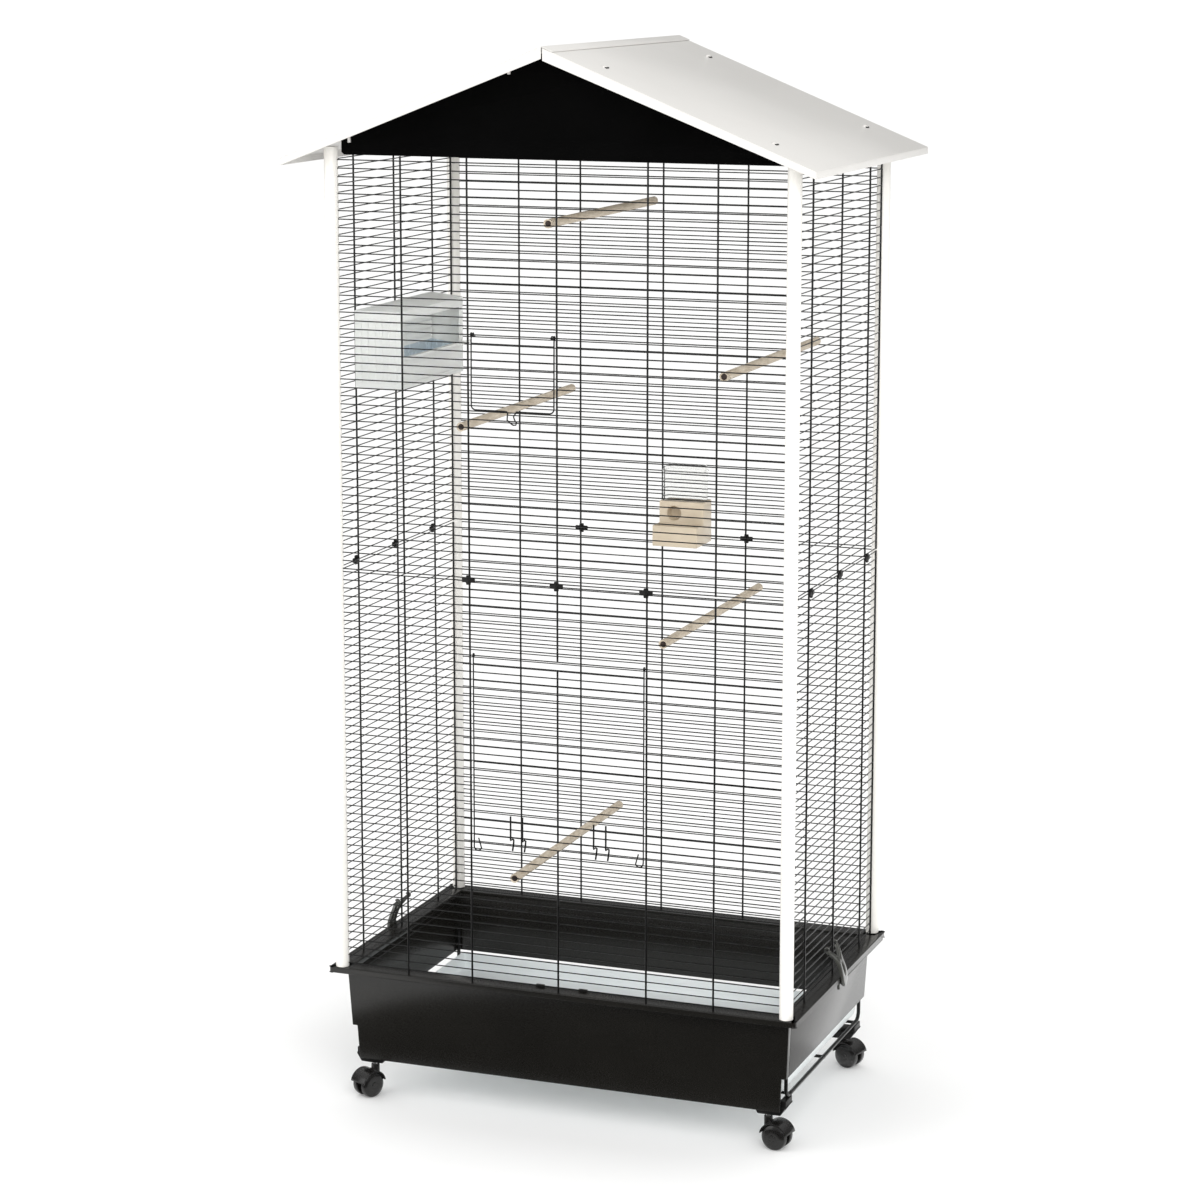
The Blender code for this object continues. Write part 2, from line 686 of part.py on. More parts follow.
def add_roof():
    """Two roof sheets. The left one laps over the ridge, and both hook into the gables."""
    rise = ROOF_SHEET * math.hypot(1, ROOF_SLOPE)
    lap_rise = rise + TOUCH * math.hypot(1, ROOF_SLOPE)
    fold = lap_rise / (2 * ROOF_SLOPE)
    eave = (ROOF_HALF_X, roof_under(ROOF_HALF_X) + rise)
    crest = (-fold, roof_under(0) + rise + ROOF_SLOPE * fold)
    lap_end = (-RIDGE_LAP, roof_under(RIDGE_LAP) + rise + lap_rise)
    left = roof_mesh(-1, (lap_end, crest, eave))
    start = fold + RIDGE_GAP
    right = roof_mesh(1, ((start, roof_under(start) + rise), eave))
    for name, sheet, side in (("roof_left", left, -1), ("roof_right", right, 1)):
        hooks = [roof_hook(side * x, y) for x in ROOF_HOOKS for y in (-POST_HALF_Y, POST_HALF_Y)]
        place(name, combined(sheet, "UNION", joined(hooks)), "roof_paint")


def gable_mesh():
    """A triangular sheet with notches for the roof's hooks, in its own XY plane."""
    half = POST_HALF_X - POST_RADIUS - GABLE_POST_GAP
    notch = HOOK_WIDTH / 2 + 0.001
    depth = HOOK_DROP + 0.001

    def top(x):
        return roof_under(x) - GABLE_ROOF_GAP

    corner = 0.004
    right = [(half - corner, GABLE_BOTTOM), (half, GABLE_BOTTOM + corner), (half, top(half))]
    for x in sorted(ROOF_HOOKS, reverse=True):
        base = roof_under(x) - depth
        right += [(x + notch, top(x + notch)), (x + notch, base)]
        right += [(x - notch, base), (x - notch, top(x - notch))]
    left = [(-x, z) for x, z in reversed(right)]
    outline = right + [(0, top(0))] + left
    return plate_mesh([outline], -GABLE_THICKNESS / 2, GABLE_THICKNESS / 2)


def add_gables():
    gable = gable_mesh()
    for side in ("front", "rear"):
        place("gable_" + side, gable, "black_sheet", *turned_to_side(side))


# Base


def wall_inset(z):
    """How far the tub's tapering walls stand in at a height."""
    return WALL_TAPER * (RIM_TOP - RIM_THICKNESS / 2 - z) / (WALL_HEIGHT + RIM_THICKNESS / 2)


def on_wall(x, y, z):
    """A point of the walls' outer surface, from its place in the plan of their top."""
    inset = wall_inset(z)
    return (x - math.copysign(inset, x), y - math.copysign(inset, y), z)


def tub_walls():
    """Three tapering walls, open at the front for the drawer."""
    front = DRAWER_RETURN + DRAWER_RETURN_GAP - WALL_HALF_Y
    path = [(-WALL_HALF_X, front), (-WALL_HALF_X, WALL_HALF_Y)]
    path += [(-x, y) for x, y in reversed(path)]
    bm = bmesh.new()
    rings = []
    for z in (RIM_TOP - RIM_THICKNESS / 2, WALL_BOTTOM):
        rings.append([bm.verts.new(on_wall(x, y, z)) for x, y in path])
    for above, below in zip(zip(rings[0], rings[0][1:]), zip(rings[1], rings[1][1:])):
        bm.faces.new((above[0], above[1], below[1], below[0]))
    return thickened(to_mesh(bm), WALL_THICKNESS)


def add_tub():
    """The black tub: a rim all round, three walls below it, and a spigot for each post."""
    inner_x = POST_HALF_X - RIM_INSIDE_POST_X
    inner_y = POST_HALF_Y - RIM_INSIDE_POST_Y
    outline = rounded_rectangle(RIM_HALF_X, RIM_HALF_Y, RIM_CORNER)
    rim = plate_mesh([outline, rectangle(-inner_x, -inner_y, inner_x, inner_y)], RIM_BOTTOM, RIM_TOP)
    spigot = cylinder_mesh(
        POST_RADIUS - POST_WALL - TOUCH, RIM_TOP - RIM_THICKNESS / 2, RIM_TOP + SPIGOT_HEIGHT, POST_SIDES
    )
    spigots = []
    for x in (-POST_HALF_X, POST_HALF_X):
        for y in (-POST_HALF_Y, POST_HALF_Y):
            spigots.append(shifted(spigot, Matrix.Translation((x, y, 0))))
    lugs = []
    for x in (-LUG_SPACING / 2, LUG_SPACING / 2):
        low = (x - LUG_WIDTH / 2, -inner_y - 0.009, RIM_TOP - RIM_THICKNESS / 2)
        lugs.append(box_mesh(low, (x + LUG_WIDTH / 2, -inner_y - 0.006, RIM_TOP + LUG_HEIGHT)))
    tub = combined(rim, "UNION", tub_walls(), joined(spigots), joined(lugs))
    place("base_tub", tub, "black_plastic")


def add_drawer():
    """A front that closes the tub's open side and turns in at its ends, with a shallow tray behind it."""
    top, half, low_half = RIM_BOTTOM - DRAWER_FRONT_GAP, WALL_HALF_X, WALL_HALF_X - DRAWER_STEP
    back = DRAWER_RETURN - WALL_HALF_Y
    bm = bmesh.new()

    def corner(x, y, z):
        return bm.verts.new(on_wall(x, y, z))

    left = [corner(-half, y, z) for y, z in ((back, top), (back, WALL_BOTTOM), (-WALL_HALF_Y, WALL_BOTTOM))]
    left.append(corner(-half, -WALL_HALF_Y, top))
    right = [corner(half, y, z) for y, z in ((back, top), (back, WALL_BOTTOM), (-WALL_HALF_Y, WALL_BOTTOM))]
    right.append(corner(half, -WALL_HALF_Y, top))
    step = [corner(x, -WALL_HALF_Y, WALL_BOTTOM) for x in (-low_half, low_half)]
    foot = [corner(x, -WALL_HALF_Y, DRAWER_FRONT_BOTTOM) for x in (-low_half, low_half)]
    bm.faces.new(left)
    bm.faces.new(reversed(right))
    bm.faces.new((left[3], left[2], step[0], step[1], right[2], right[3]))
    bm.faces.new((step[0], foot[0], foot[1], step[1]))
    place("drawer_front", thickened(to_mesh(bm), DRAWER_FRONT_THICKNESS), "black_plastic")
    front = wall_inset(TRAY_BOTTOM) - WALL_HALF_Y + DRAWER_FRONT_THICKNESS + TOUCH
    rear = WALL_HALF_Y - WALL_TAPER - 0.002
    bm = bmesh.new()
    bmesh.ops.create_cube(bm, size=2.0)
    for vert in bm.verts:
        low = vert.co.z < 0
        x = math.copysign(TRAY_HALF_X - (TRAY_TAPER if low else 0), vert.co.x)
        y = front if vert.co.y < 0 else rear - (TRAY_TAPER if low else 0)
        vert.co = (x, y, TRAY_BOTTOM if low else TRAY_TOP)
    lid = max(bm.faces, key=lambda face: face.calc_center_median().z)
    bmesh.ops.delete(bm, geom=[lid], context="FACES_ONLY")
    tray = thickened(to_mesh(bm), TRAY_WALL)
    place("drawer_tray", tray, "pale_plastic")


def add_chassis():
    """A welded rod frame under the tray: a U-shaped rod on each side and three cross rods."""
    top = WALL_BOTTOM + CHASSIS_IN_TUB
    bend = CHASSIS_BEND
    front = arc((CHASSIS_FRONT + bend, CHASSIS_Z + bend), bend, 180, 270, 4)
    rear = arc((CHASSIS_REAR - bend, CHASSIS_Z + bend), bend, 270, 360, 4)
    side = [(CHASSIS_FRONT, top), *front, *rear, (CHASSIS_REAR, top)]
    rods = [rod_mesh([(x, y, z) for y, z in side], CHASSIS_ROD) for x in (-CHASSIS_X, CHASSIS_X)]
    span = CHASSIS_REAR - CHASSIS_FRONT - 4 * bend
    for share in (0, 0.5, 1):
        y = CHASSIS_FRONT + 2 * bend + span * share
        rods.append(rod_mesh([(-CHASSIS_X, y, CHASSIS_Z), (CHASSIS_X, y, CHASSIS_Z)], CROSS_ROD))
    place("chassis", combined(rods[0], "UNION", *rods[1:]), "black_wire", smooth=True)


# Feet and casters


def foot_mesh(side):
    """A foot that carries the chassis rod and holds a caster stem. Its origin is the stem's axis."""
    outer = CHASSIS_X + CHASSIS_ROD / 2 + TOUCH - CASTER_X
    inner = outer - FOOT_WIDTH
    drawer_back = WALL_HALF_Y - wall_inset(DRAWER_FRONT_BOTTOM) - DRAWER_FRONT_THICKNESS
    front = CASTER_Y - drawer_back + FOOT_FRONT_GAP
    rear = front + FOOT_DEPTH
    outline = [(inner, FOOT_TOP), (inner + FOOT_SLANT, FOOT_BOTTOM)]
    outline += [(outer - FOOT_SLANT, FOOT_BOTTOM), (outer, FOOT_TOP)]
    block = plate_mesh([outline], -rear, -front)
    block.transform(Matrix.Rotation(math.radians(90), 4, "X"))
    saddle = box_mesh(
        (outer - FOOT_SADDLE, front + 0.003, FOOT_TOP - 0.002),
        (outer - 0.0002, rear - 0.0005, FOOT_TOP + SADDLE_HEIGHT),
    )
    foot = combined(block, "UNION", saddle)
    bore_top = FOOT_BOTTOM + STEM_IN_FOOT + 0.0005
    bore = cylinder_mesh(STEM_DIAMETER / 2 + TOUCH, FOOT_BOTTOM - 0.005, bore_top, 16)
    foot = combined(foot, "DIFFERENCE", bore)
    return shifted(foot, Matrix.Diagonal((side, 1, 1, 1)))


def yoke_mesh():
    """A caster's stem, centre plate and hood. The axle trails along +X from the stem's axis."""
    axle = (CASTER_TRAIL, WHEEL_RADIUS)
    lowest = FOOT_BOTTOM - STEM_UNDER_FOOT
    stem = cylinder_mesh(STEM_DIAMETER / 2, lowest, FOOT_BOTTOM + STEM_IN_FOOT, 16)
    hood_inner = WHEEL_RADIUS + HOOD_GAP
    hood_outer = hood_inner + HOOD_WALL
    hood = arc(axle, hood_outer, 20, 165, 10) + arc(axle, hood_inner, 165, 20, 10)
    half_width = WHEEL_GAP / 2 + WHEEL_WIDTH
    stand_up = Matrix.Rotation(math.radians(90), 4, "X")
    hood_shell = plate_mesh([hood], -half_width, half_width)
    boss = arc(axle, AXLE_DIAMETER, -150, 60, 8)
    neck = [(axle[0] + 0.0045, lowest + 0.0005), (0.0055, lowest + 0.004), (-0.0055, lowest + 0.004)]
    neck += [(-0.0055, lowest - 0.006)]
    bore = circle(axle, AXLE_DIAMETER / 2 + AXLE_CLEARANCE, 16)
    plate = plate_mesh([boss + neck, bore], -YOKE_PLATE / 2, YOKE_PLATE / 2)
    for flat in (hood_shell, plate):
        flat.transform(stand_up)
    return combined(stem, "UNION", plate, hood_shell)


def wheels_mesh():
    """Twin wheels on their axle, centred on the axle, which lies along Y."""
    inner, outer, radius = WHEEL_GAP / 2, WHEEL_GAP / 2 + WHEEL_WIDTH, WHEEL_RADIUS
    axle = AXLE_DIAMETER / 2
    half = [(0, outer), (radius, outer), (radius, inner), (axle, inner)]
    wheels = turned_mesh(half + [(r, -z) for r, z in reversed(half)], WHEEL_SIDES)
    wheels.transform(Matrix.Rotation(math.radians(90), 4, "X"))
    return wheels


def add_casters():
    """Four swivelling twin-wheel casters, each in a foot under the chassis."""
    feet = {1: foot_mesh(1), -1: foot_mesh(-1)}
    yoke, wheels = yoke_mesh(), wheels_mesh()
    for label, side_x, side_y in (
        ("front_left", -1, -1),
        ("front_right", 1, -1),
        ("rear_right", 1, 1),
        ("rear_left", -1, 1),
    ):
        stem = (side_x * CASTER_X, side_y * CASTER_Y, 0)
        handed = side_x if side_y < 0 else -side_x
        place("foot_" + label, feet[handed], "black_plastic", stem, (0, 0, math.pi if side_y > 0 else 0))
        heading = math.radians(CASTER_HEADINGS[label])
        place("caster_yoke_" + label, yoke, "caster_black", stem, (0, 0, heading), smooth=True)
        reach = Vector((math.cos(heading), math.sin(heading), 0)) * CASTER_TRAIL
        axle = Vector(stem) + reach + Vector((0, 0, WHEEL_RADIUS))
        place("caster_wheels_" + label, wheels, "caster_black", axle, (0, 0, heading), smooth=True)


# Side latches


def latch_mesh():
    """A forked lever from its hinge row down over the rim. x is outward, z is up from the hinge."""
    hinge_z = row_height(LOWER_START, LATCH_ROW)
    out = RIM_HALF_X + LATCH_RIM_GAP - POST_HALF_X
    under = RIM_BOTTOM - hinge_z
    rings = [circle((0, 0), HINGE_RING_OUTER, 12), circle((0, 0), HINGE_RING_INNER, 12)]
    ring = plate_mesh(rings, -DOOR_WIRE / 2, DOOR_WIRE / 2)
    ring.transform(Matrix.Rotation(math.radians(90), 4, "X"))
    merge = (out * 0.62, 0, -0.018)
    pieces = []
    for side in (-1, 1):
        pieces.append(shifted(ring, Matrix.Translation((0, side * LATCH_SPREAD, 0))))
        start = ((HINGE_RING_INNER + HINGE_RING_OUTER) / 2 + 0.0009, side * LATCH_SPREAD, 0)
        pieces.append(rod_mesh([start, (start[0] + 0.003, start[1], -0.003), merge], LATCH_WIRE))
    thick = LATCH_WIRE - 0.0006
    toe_low = under - LATCH_HOOK_DEPTH - 0.0025
    outline = [(merge[0] - 0.0016, merge[2] - 0.001), (merge[0] + 0.0016, merge[2] + 0.002)]
    outline += [(out + thick, under + 0.006), (out + thick, toe_low), (out - 0.0073, toe_low)]
    outline += [(out - 0.0073, under - 0.0025), (out - 0.0043, under - 0.0025)]
    outline += [(out - 0.0043, toe_low + 0.0035)]
    outline += [(out, toe_low + 0.0035), (out, under + 0.0055)]
    strap = plate_mesh([outline], -LATCH_STRAP / 2, LATCH_STRAP / 2)
    strap.transform(Matrix.Rotation(math.radians(90), 4, "X"))
    return combined(strap, "UNION", *pieces)


def add_latches():
    latch = latch_mesh()
    height = row_height(LOWER_START, LATCH_ROW)
    for name, side, heading in (("latch_right", 1, 0), ("latch_left", -1, math.pi)):
        place(name, latch, "latch_black", (side * POST_HALF_X, 0, height), (0, 0, heading), smooth=True)


# What hangs inside the cage


def add_perches():
    half = POST_HALF_Y - ROW_WIRE / 2 - TOUCH
    perch = cylinder_mesh(PERCH_DIAMETER / 2, -half, half, 16)
    perch.transform(Matrix.Rotation(math.radians(90), 4, "X"))
    perches = [(x, PANEL_TOP - down) for x, down in TOP_PERCHES]
    perches += [(x, UPPER_START + up) for x, up in UPPER_PERCHES]
    perches += [(x, UPPER_START - MID_GAP - down) for x, down in MID_PERCHES]
    perches += [(x, LOWER_START + up) for x, up in LOWER_PERCHES]
    for number, (x, z) in enumerate(perches, 1):
        place(f"perch_{number}", perch, "perch_beige", (x, 0, z), smooth=True)


def add_feeder():
    """A seed feeder against the rear panel: a tray base, and a clear reservoir that stands on it."""
    back = POST_HALF_Y - ROW_WIRE / 2 - TOUCH
    low, right = FEEDER_BOTTOM, FEEDER_LEFT + FEEDER_WIDTH
    body_front, tray_front = back - FEEDER_BODY_DEPTH, back - FEEDER_DEPTH
    tray_top, body_top = low + FEEDER_TRAY_HEIGHT, low + FEEDER_BODY_HEIGHT
    profile = [(back, low), (back, body_top), (body_front, body_top), (body_front, tray_top)]
    profile += [(tray_front, tray_top), (tray_front, low)]
    base = plate_mesh([profile], FEEDER_LEFT, right)
    base.transform(Matrix(((0, 0, 1, 0), (1, 0, 0, 0), (0, 1, 0, 0), (0, 0, 0, 1))))
    wall = FEEDER_WALL
    pocket = box_mesh(
        (FEEDER_LEFT + wall, tray_front + wall, low + wall),
        (right - wall, body_front - wall, tray_top + 0.01),
    )
    port = cylinder_mesh(FEEDER_PORT / 2, -FEEDER_BODY_DEPTH / 2, FEEDER_BODY_DEPTH / 2, 16)
    port.transform(Matrix.Rotation(math.radians(90), 4, "X"))
    centre = (FEEDER_LEFT + FEEDER_WIDTH / 3, body_front, (tray_top + body_top) / 2 - 0.002)
    port.transform(Matrix.Translation(centre))
    place("feeder_base", combined(base, "DIFFERENCE", pocket, port), "feeder_beige")
    inset = RESERVOIR_INSET
    bm = bmesh.new()
    bmesh.ops.create_cube(bm, size=2.0)
    centre_x, half_x = (FEEDER_LEFT + right) / 2, FEEDER_WIDTH / 2 - inset
    for vert in bm.verts:
        y = back - 0.001 if vert.co.y > 0 else body_front + 0.001
        z = body_top + TOUCH + (RESERVOIR_HEIGHT if vert.co.z > 0 else 0)
        vert.co = (centre_x + math.copysign(half_x, vert.co.x), y, z)
    tall = [edge for edge in bm.edges if abs(edge.verts[0].co.z - edge.verts[1].co.z) > 0.001]
    floor = min(bm.faces, key=lambda face: face.calc_center_median().z)
    bmesh.ops.delete(bm, geom=[floor], context="FACES_ONLY")
    crown = [edge for edge in bm.edges if all(v.co.z > body_top + 0.01 for v in edge.verts)]
    bmesh.ops.bevel(
        bm, geom=tall + crown, offset=0.006, segments=2, affect="EDGES", profile=0.5, material=-1
    )
    place("feeder_reservoir", thickened(to_mesh(bm), RESERVOIR_WALL), "clear_plastic")


def bath_plan():
    """Plan of the bath, anticlockwise. Its rear wall runs at a slant."""
    back = -(POST_HALF_X - ROW_WIRE / 2 - TOUCH)
    return [
        (back, BATH_FRONT),
        (back + BATH_DEPTH, BATH_FRONT),
        (back + BATH_DEPTH, BATH_REAR_INNER),
        (back, BATH_REAR_OUTER),
    ]


def add_bath():
    """A bird bath on the left panel: a hood with a window, and the basin inside it."""
    plan, low, high = bath_plan(), BATH_BOTTOM, BATH_BOTTOM + BATH_HEIGHT
    hood = plate_mesh([plan], low, high)
    hollow = plate_mesh([shrunk(plan, BATH_WALL)], low + BATH_WALL, high - BATH_WALL)
    inner_x = plan[1][0]
    window = box_mesh(
        (inner_x - 0.01, BATH_FRONT + 0.013, low + BATH_SILL),
        (inner_x + 0.01, BATH_REAR_INNER - 0.013, high - BATH_LINTEL),
    )
    place("bath_hood", combined(hood, "DIFFERENCE", hollow, window), "bath_plastic")
    outer = shrunk(plan, BATH_WALL + TOUCH)
    bottom = low + BATH_WALL + TOUCH
    basin = plate_mesh([outer], bottom, bottom + BASIN_HEIGHT)
    well = plate_mesh([shrunk(outer, BASIN_WALL)], bottom + BASIN_WALL, bottom + BASIN_HEIGHT + 0.01)
    place("bath_basin", combined(basin, "DIFFERENCE", well), "basin_blue")


add_tub()
add_drawer()
add_chassis()
add_casters()
add_posts()
add_panels()
add_clips()
add_doors()
add_latches()
add_gables()
add_roof()
add_perches()
add_feeder()
add_bath()
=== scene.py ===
import json
import math

import bmesh
import bpy
from mathutils import Matrix, Vector


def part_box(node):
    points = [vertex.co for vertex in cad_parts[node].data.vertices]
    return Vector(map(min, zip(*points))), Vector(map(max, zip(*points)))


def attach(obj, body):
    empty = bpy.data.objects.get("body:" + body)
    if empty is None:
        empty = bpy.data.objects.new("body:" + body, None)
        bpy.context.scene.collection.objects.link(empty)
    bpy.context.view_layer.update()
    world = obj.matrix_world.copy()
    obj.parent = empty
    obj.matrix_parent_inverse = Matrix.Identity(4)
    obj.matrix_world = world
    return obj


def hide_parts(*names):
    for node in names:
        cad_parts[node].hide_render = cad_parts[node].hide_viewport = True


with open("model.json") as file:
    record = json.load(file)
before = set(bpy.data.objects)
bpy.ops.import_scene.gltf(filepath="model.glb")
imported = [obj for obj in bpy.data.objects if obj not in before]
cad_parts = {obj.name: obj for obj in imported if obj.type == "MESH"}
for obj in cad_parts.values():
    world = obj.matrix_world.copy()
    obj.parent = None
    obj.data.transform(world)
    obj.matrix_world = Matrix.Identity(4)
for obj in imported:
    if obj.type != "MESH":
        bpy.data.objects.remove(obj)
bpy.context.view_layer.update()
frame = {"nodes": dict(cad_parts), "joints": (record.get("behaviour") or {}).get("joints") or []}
joints = {joint["name"]: joint for joint in frame["joints"]}
print("frame loaded:", len(frame["nodes"]), "nodes")


def newMaterial(name):
    material = bpy.data.materials.new(name)
    material.use_nodes = True
    tree = material.node_tree
    return material, tree, tree.nodes["Principled BSDF"]


def objectPoints(tree, scale=(1, 1, 1), turn=(0, 0, 0)):
    coords = tree.nodes.new("ShaderNodeTexCoord")
    mapping = tree.nodes.new("ShaderNodeMapping")
    mapping.inputs["Scale"].default_value = scale
    mapping.inputs["Rotation"].default_value = turn
    tree.links.new(coords.outputs["Object"], mapping.inputs["Vector"])
    return mapping.outputs["Vector"]


def noiseOn(tree, points, scale, detail=4.0, roughness=0.55):
    noise = tree.nodes.new("ShaderNodeTexNoise")
    noise.inputs["Scale"].default_value = scale
    noise.inputs["Detail"].default_value = detail
    noise.inputs["Roughness"].default_value = roughness
    tree.links.new(points, noise.inputs["Vector"])
    return noise.outputs["Fac"]


def rampOn(tree, factor, stops):
    ramp = tree.nodes.new("ShaderNodeValToRGB")
    ramp.color_ramp.elements[0].position = stops[0][0]
    ramp.color_ramp.elements[0].color = (*stops[0][1], 1)
    ramp.color_ramp.elements[1].position = stops[-1][0]
    ramp.color_ramp.elements[1].color = (*stops[-1][1], 1)
    for place, colour in stops[1:-1]:
        extra = ramp.color_ramp.elements.new(place)
        extra.color = (*colour, 1)
    tree.links.new(factor, ramp.inputs["Fac"])
    return ramp.outputs["Color"]


def rangeOn(tree, value, low, high, start=0.3, end=0.7):
    spread = tree.nodes.new("ShaderNodeMapRange")
    spread.inputs["From Min"].default_value = start
    spread.inputs["From Max"].default_value = end
    spread.inputs["To Min"].default_value = low
    spread.inputs["To Max"].default_value = high
    tree.links.new(value, spread.inputs["Value"])
    return spread.outputs["Result"]


def bumpOn(tree, shader, height, strength, distance):
    bump = tree.nodes.new("ShaderNodeBump")
    bump.inputs["Strength"].default_value = strength
    bump.inputs["Distance"].default_value = distance
    tree.links.new(height, bump.inputs["Height"])
    tree.links.new(bump.outputs["Normal"], shader.inputs["Normal"])


def coatedFinish(name, light, dark, look):
    material, tree, shader = newMaterial(name)
    points = objectPoints(tree)
    patches = noiseOn(tree, points, look["patchScale"])
    grain = noiseOn(tree, points, look["grainScale"], 3.0)
    tree.links.new(rampOn(tree, patches, [(0.3, dark), (0.7, light)]), shader.inputs["Base Color"])
    tree.links.new(rangeOn(tree, grain, look["glossy"], look["matt"]), shader.inputs["Roughness"])
    bumpOn(tree, shader, grain, look["bump"], look["depth"])
    shader.inputs["Metallic"].default_value = look.get("metallic", 0.0)
    shader.inputs["Coat Weight"].default_value = look.get("coat", 0.0)
    shader.inputs["Coat Roughness"].default_value = look.get("coatRoughness", 0.2)
    shader.inputs["Specular IOR Level"].default_value = look.get("specular", 0.5)
    shader.inputs["Transmission Weight"].default_value = look.get("clear", 0.0)
    shader.inputs["IOR"].default_value = look.get("ior", 1.5)
    return material


powderCoat = dict(patchScale=7, grainScale=900, glossy=0.26, matt=0.42, bump=0.10, depth=0.0002, coat=0.15)
creamPaint = coatedFinish("cream powder coat", (0.885, 0.868, 0.83), (0.84, 0.82, 0.775), powderCoat)
roofPaint = coatedFinish(
    "roof powder coat", (0.69, 0.675, 0.65), (0.655, 0.64, 0.615),
    dict(powderCoat, patchScale=4, glossy=0.34, matt=0.5),
)
gableBlack = coatedFinish(
    "gable black", (0.0012, 0.0012, 0.0012), (0.0006, 0.0006, 0.0006),
    dict(patchScale=9, grainScale=1100, glossy=0.7, matt=0.85, bump=0.06, depth=0.0002, specular=0.04),
)
wireBlack = coatedFinish(
    "wire black", (0.0014, 0.0013, 0.0012), (0.0007, 0.0007, 0.0007),
    dict(patchScale=60, grainScale=1500, glossy=0.26, matt=0.40, bump=0.05, depth=0.0001, specular=0.34),
)
baseBlack = coatedFinish(
    "base black", (0.0100, 0.0093, 0.0078), (0.0070, 0.0065, 0.0055),
    dict(patchScale=5, grainScale=1300, glossy=0.22, matt=0.30, bump=0.05, depth=0.0002, specular=0.5),
)
fittingBlack = coatedFinish(
    "fitting black", (0.008, 0.0075, 0.007), (0.004, 0.004, 0.004),
    dict(patchScale=40, grainScale=1600, glossy=0.34, matt=0.5, bump=0.08, depth=0.0002, specular=0.25),
)
wheelBlack = coatedFinish(
    "wheel black", (0.008, 0.0075, 0.007), (0.005, 0.0046, 0.0043),
    dict(patchScale=50, grainScale=900, glossy=0.18, matt=0.32, bump=0.06, depth=0.0002, specular=0.5),
)
# black plastic drawn dark grey: the lighter base colour is painted sheen
latchBlackPaintedSheen = coatedFinish(
    "latch black with painted sheen", (0.062, 0.063, 0.056), (0.045, 0.046, 0.041),
    dict(patchScale=60, grainScale=1200, glossy=0.14, matt=0.24, bump=0.03, depth=0.0002, coat=0.5),
)
trayGrey = coatedFinish(
    "tray grey", (0.86, 0.90, 0.905), (0.81, 0.855, 0.865),
    dict(patchScale=6, grainScale=700, glossy=0.34, matt=0.5, bump=0.08, depth=0.0003),
)
feederBeige = coatedFinish(
    "feeder beige", (0.66, 0.565, 0.43), (0.58, 0.49, 0.365),
    dict(patchScale=30, grainScale=900, glossy=0.28, matt=0.4, bump=0.06, depth=0.0002, coat=0.2),
)
pinSteel = coatedFinish(
    "pin steel", (0.74, 0.74, 0.73), (0.6, 0.6, 0.6),
    dict(patchScale=200, grainScale=2500, glossy=0.18, matt=0.3, bump=0.05, depth=0.0001, metallic=1.0),
)
clearWall = coatedFinish(
    "clear wall", (0.985, 0.985, 0.98), (0.965, 0.965, 0.955),
    dict(
        patchScale=20, grainScale=60, glossy=0.02, matt=0.05, bump=0.0, depth=0.0001,
        clear=0.98, ior=1.05, specular=0.2,
    ),
)
bathWhite = coatedFinish(
    "bath white", (0.975, 0.985, 0.965), (0.935, 0.95, 0.935),
    dict(
        patchScale=14, grainScale=90, glossy=0.30, matt=0.36, bump=0.0, depth=0.0001,
        clear=0.42, ior=1.08, specular=0.3,
    ),
)
basinBlue = coatedFinish(
    "basin blue", (0.80, 0.89, 0.95), (0.74, 0.84, 0.91),
    dict(
        patchScale=22, grainScale=90, glossy=0.2, matt=0.32, bump=0.0, depth=0.0001,
        clear=0.15, ior=1.1, specular=0.3,
    ),
)


def perchFinish():
    material, tree, shader = newMaterial("perch beige")
    points = objectPoints(tree, (1, 0.25, 1))
    streaks = noiseOn(tree, points, 160, 5.0, 0.6)
    wave = tree.nodes.new("ShaderNodeTexWave")
    wave.bands_direction = "Y"
    wave.inputs["Scale"].default_value = 95
    wave.inputs["Distortion"].default_value = 2.2
    wave.inputs["Detail"].default_value = 2
    tree.links.new(objectPoints(tree), wave.inputs["Vector"])
    tones = [(0.3, (0.47, 0.39, 0.29)), (0.55, (0.60, 0.52, 0.41)), (0.75, (0.68, 0.61, 0.50))]
    tree.links.new(rampOn(tree, streaks, tones), shader.inputs["Base Color"])
    tree.links.new(rangeOn(tree, streaks, 0.45, 0.7), shader.inputs["Roughness"])
    bumpOn(tree, shader, wave.outputs["Fac"], 0.5, 0.0004)
    return material


# very dark brown for discs just inside the perch ends, painted shade of the hollow tube
def perchEndShadeFinish():
    material, tree, shader = newMaterial("perch end painted shade")
    points = objectPoints(tree)
    spots = noiseOn(tree, points, 500)
    tones = [(0.3, (0.012, 0.005, 0.003)), (0.7, (0.035, 0.016, 0.009))]
    tree.links.new(rampOn(tree, spots, tones), shader.inputs["Base Color"])
    tree.links.new(rangeOn(tree, spots, 0.4, 0.6), shader.inputs["Roughness"])
    return material


def seedFinish():
    material, tree, shader = newMaterial("seed mix")
    cells = tree.nodes.new("ShaderNodeTexVoronoi")
    cells.inputs["Scale"].default_value = 420
    tree.links.new(objectPoints(tree, (1, 1, 1.6)), cells.inputs["Vector"])
    tones = [(0.2, (0.16, 0.08, 0.03)), (0.5, (0.42, 0.27, 0.12)), (0.85, (0.62, 0.47, 0.26))]
    tree.links.new(rampOn(tree, cells.outputs["Color"], tones), shader.inputs["Base Color"])
    bumpOn(tree, shader, cells.outputs["Distance"], 0.8, 0.0008)
    shader.inputs["Roughness"].default_value = 0.6
    return material


perchBeige = perchFinish()
perchEndShade = perchEndShadeFinish()
seedMix = seedFinish()
print("materials made:", len(bpy.data.materials))


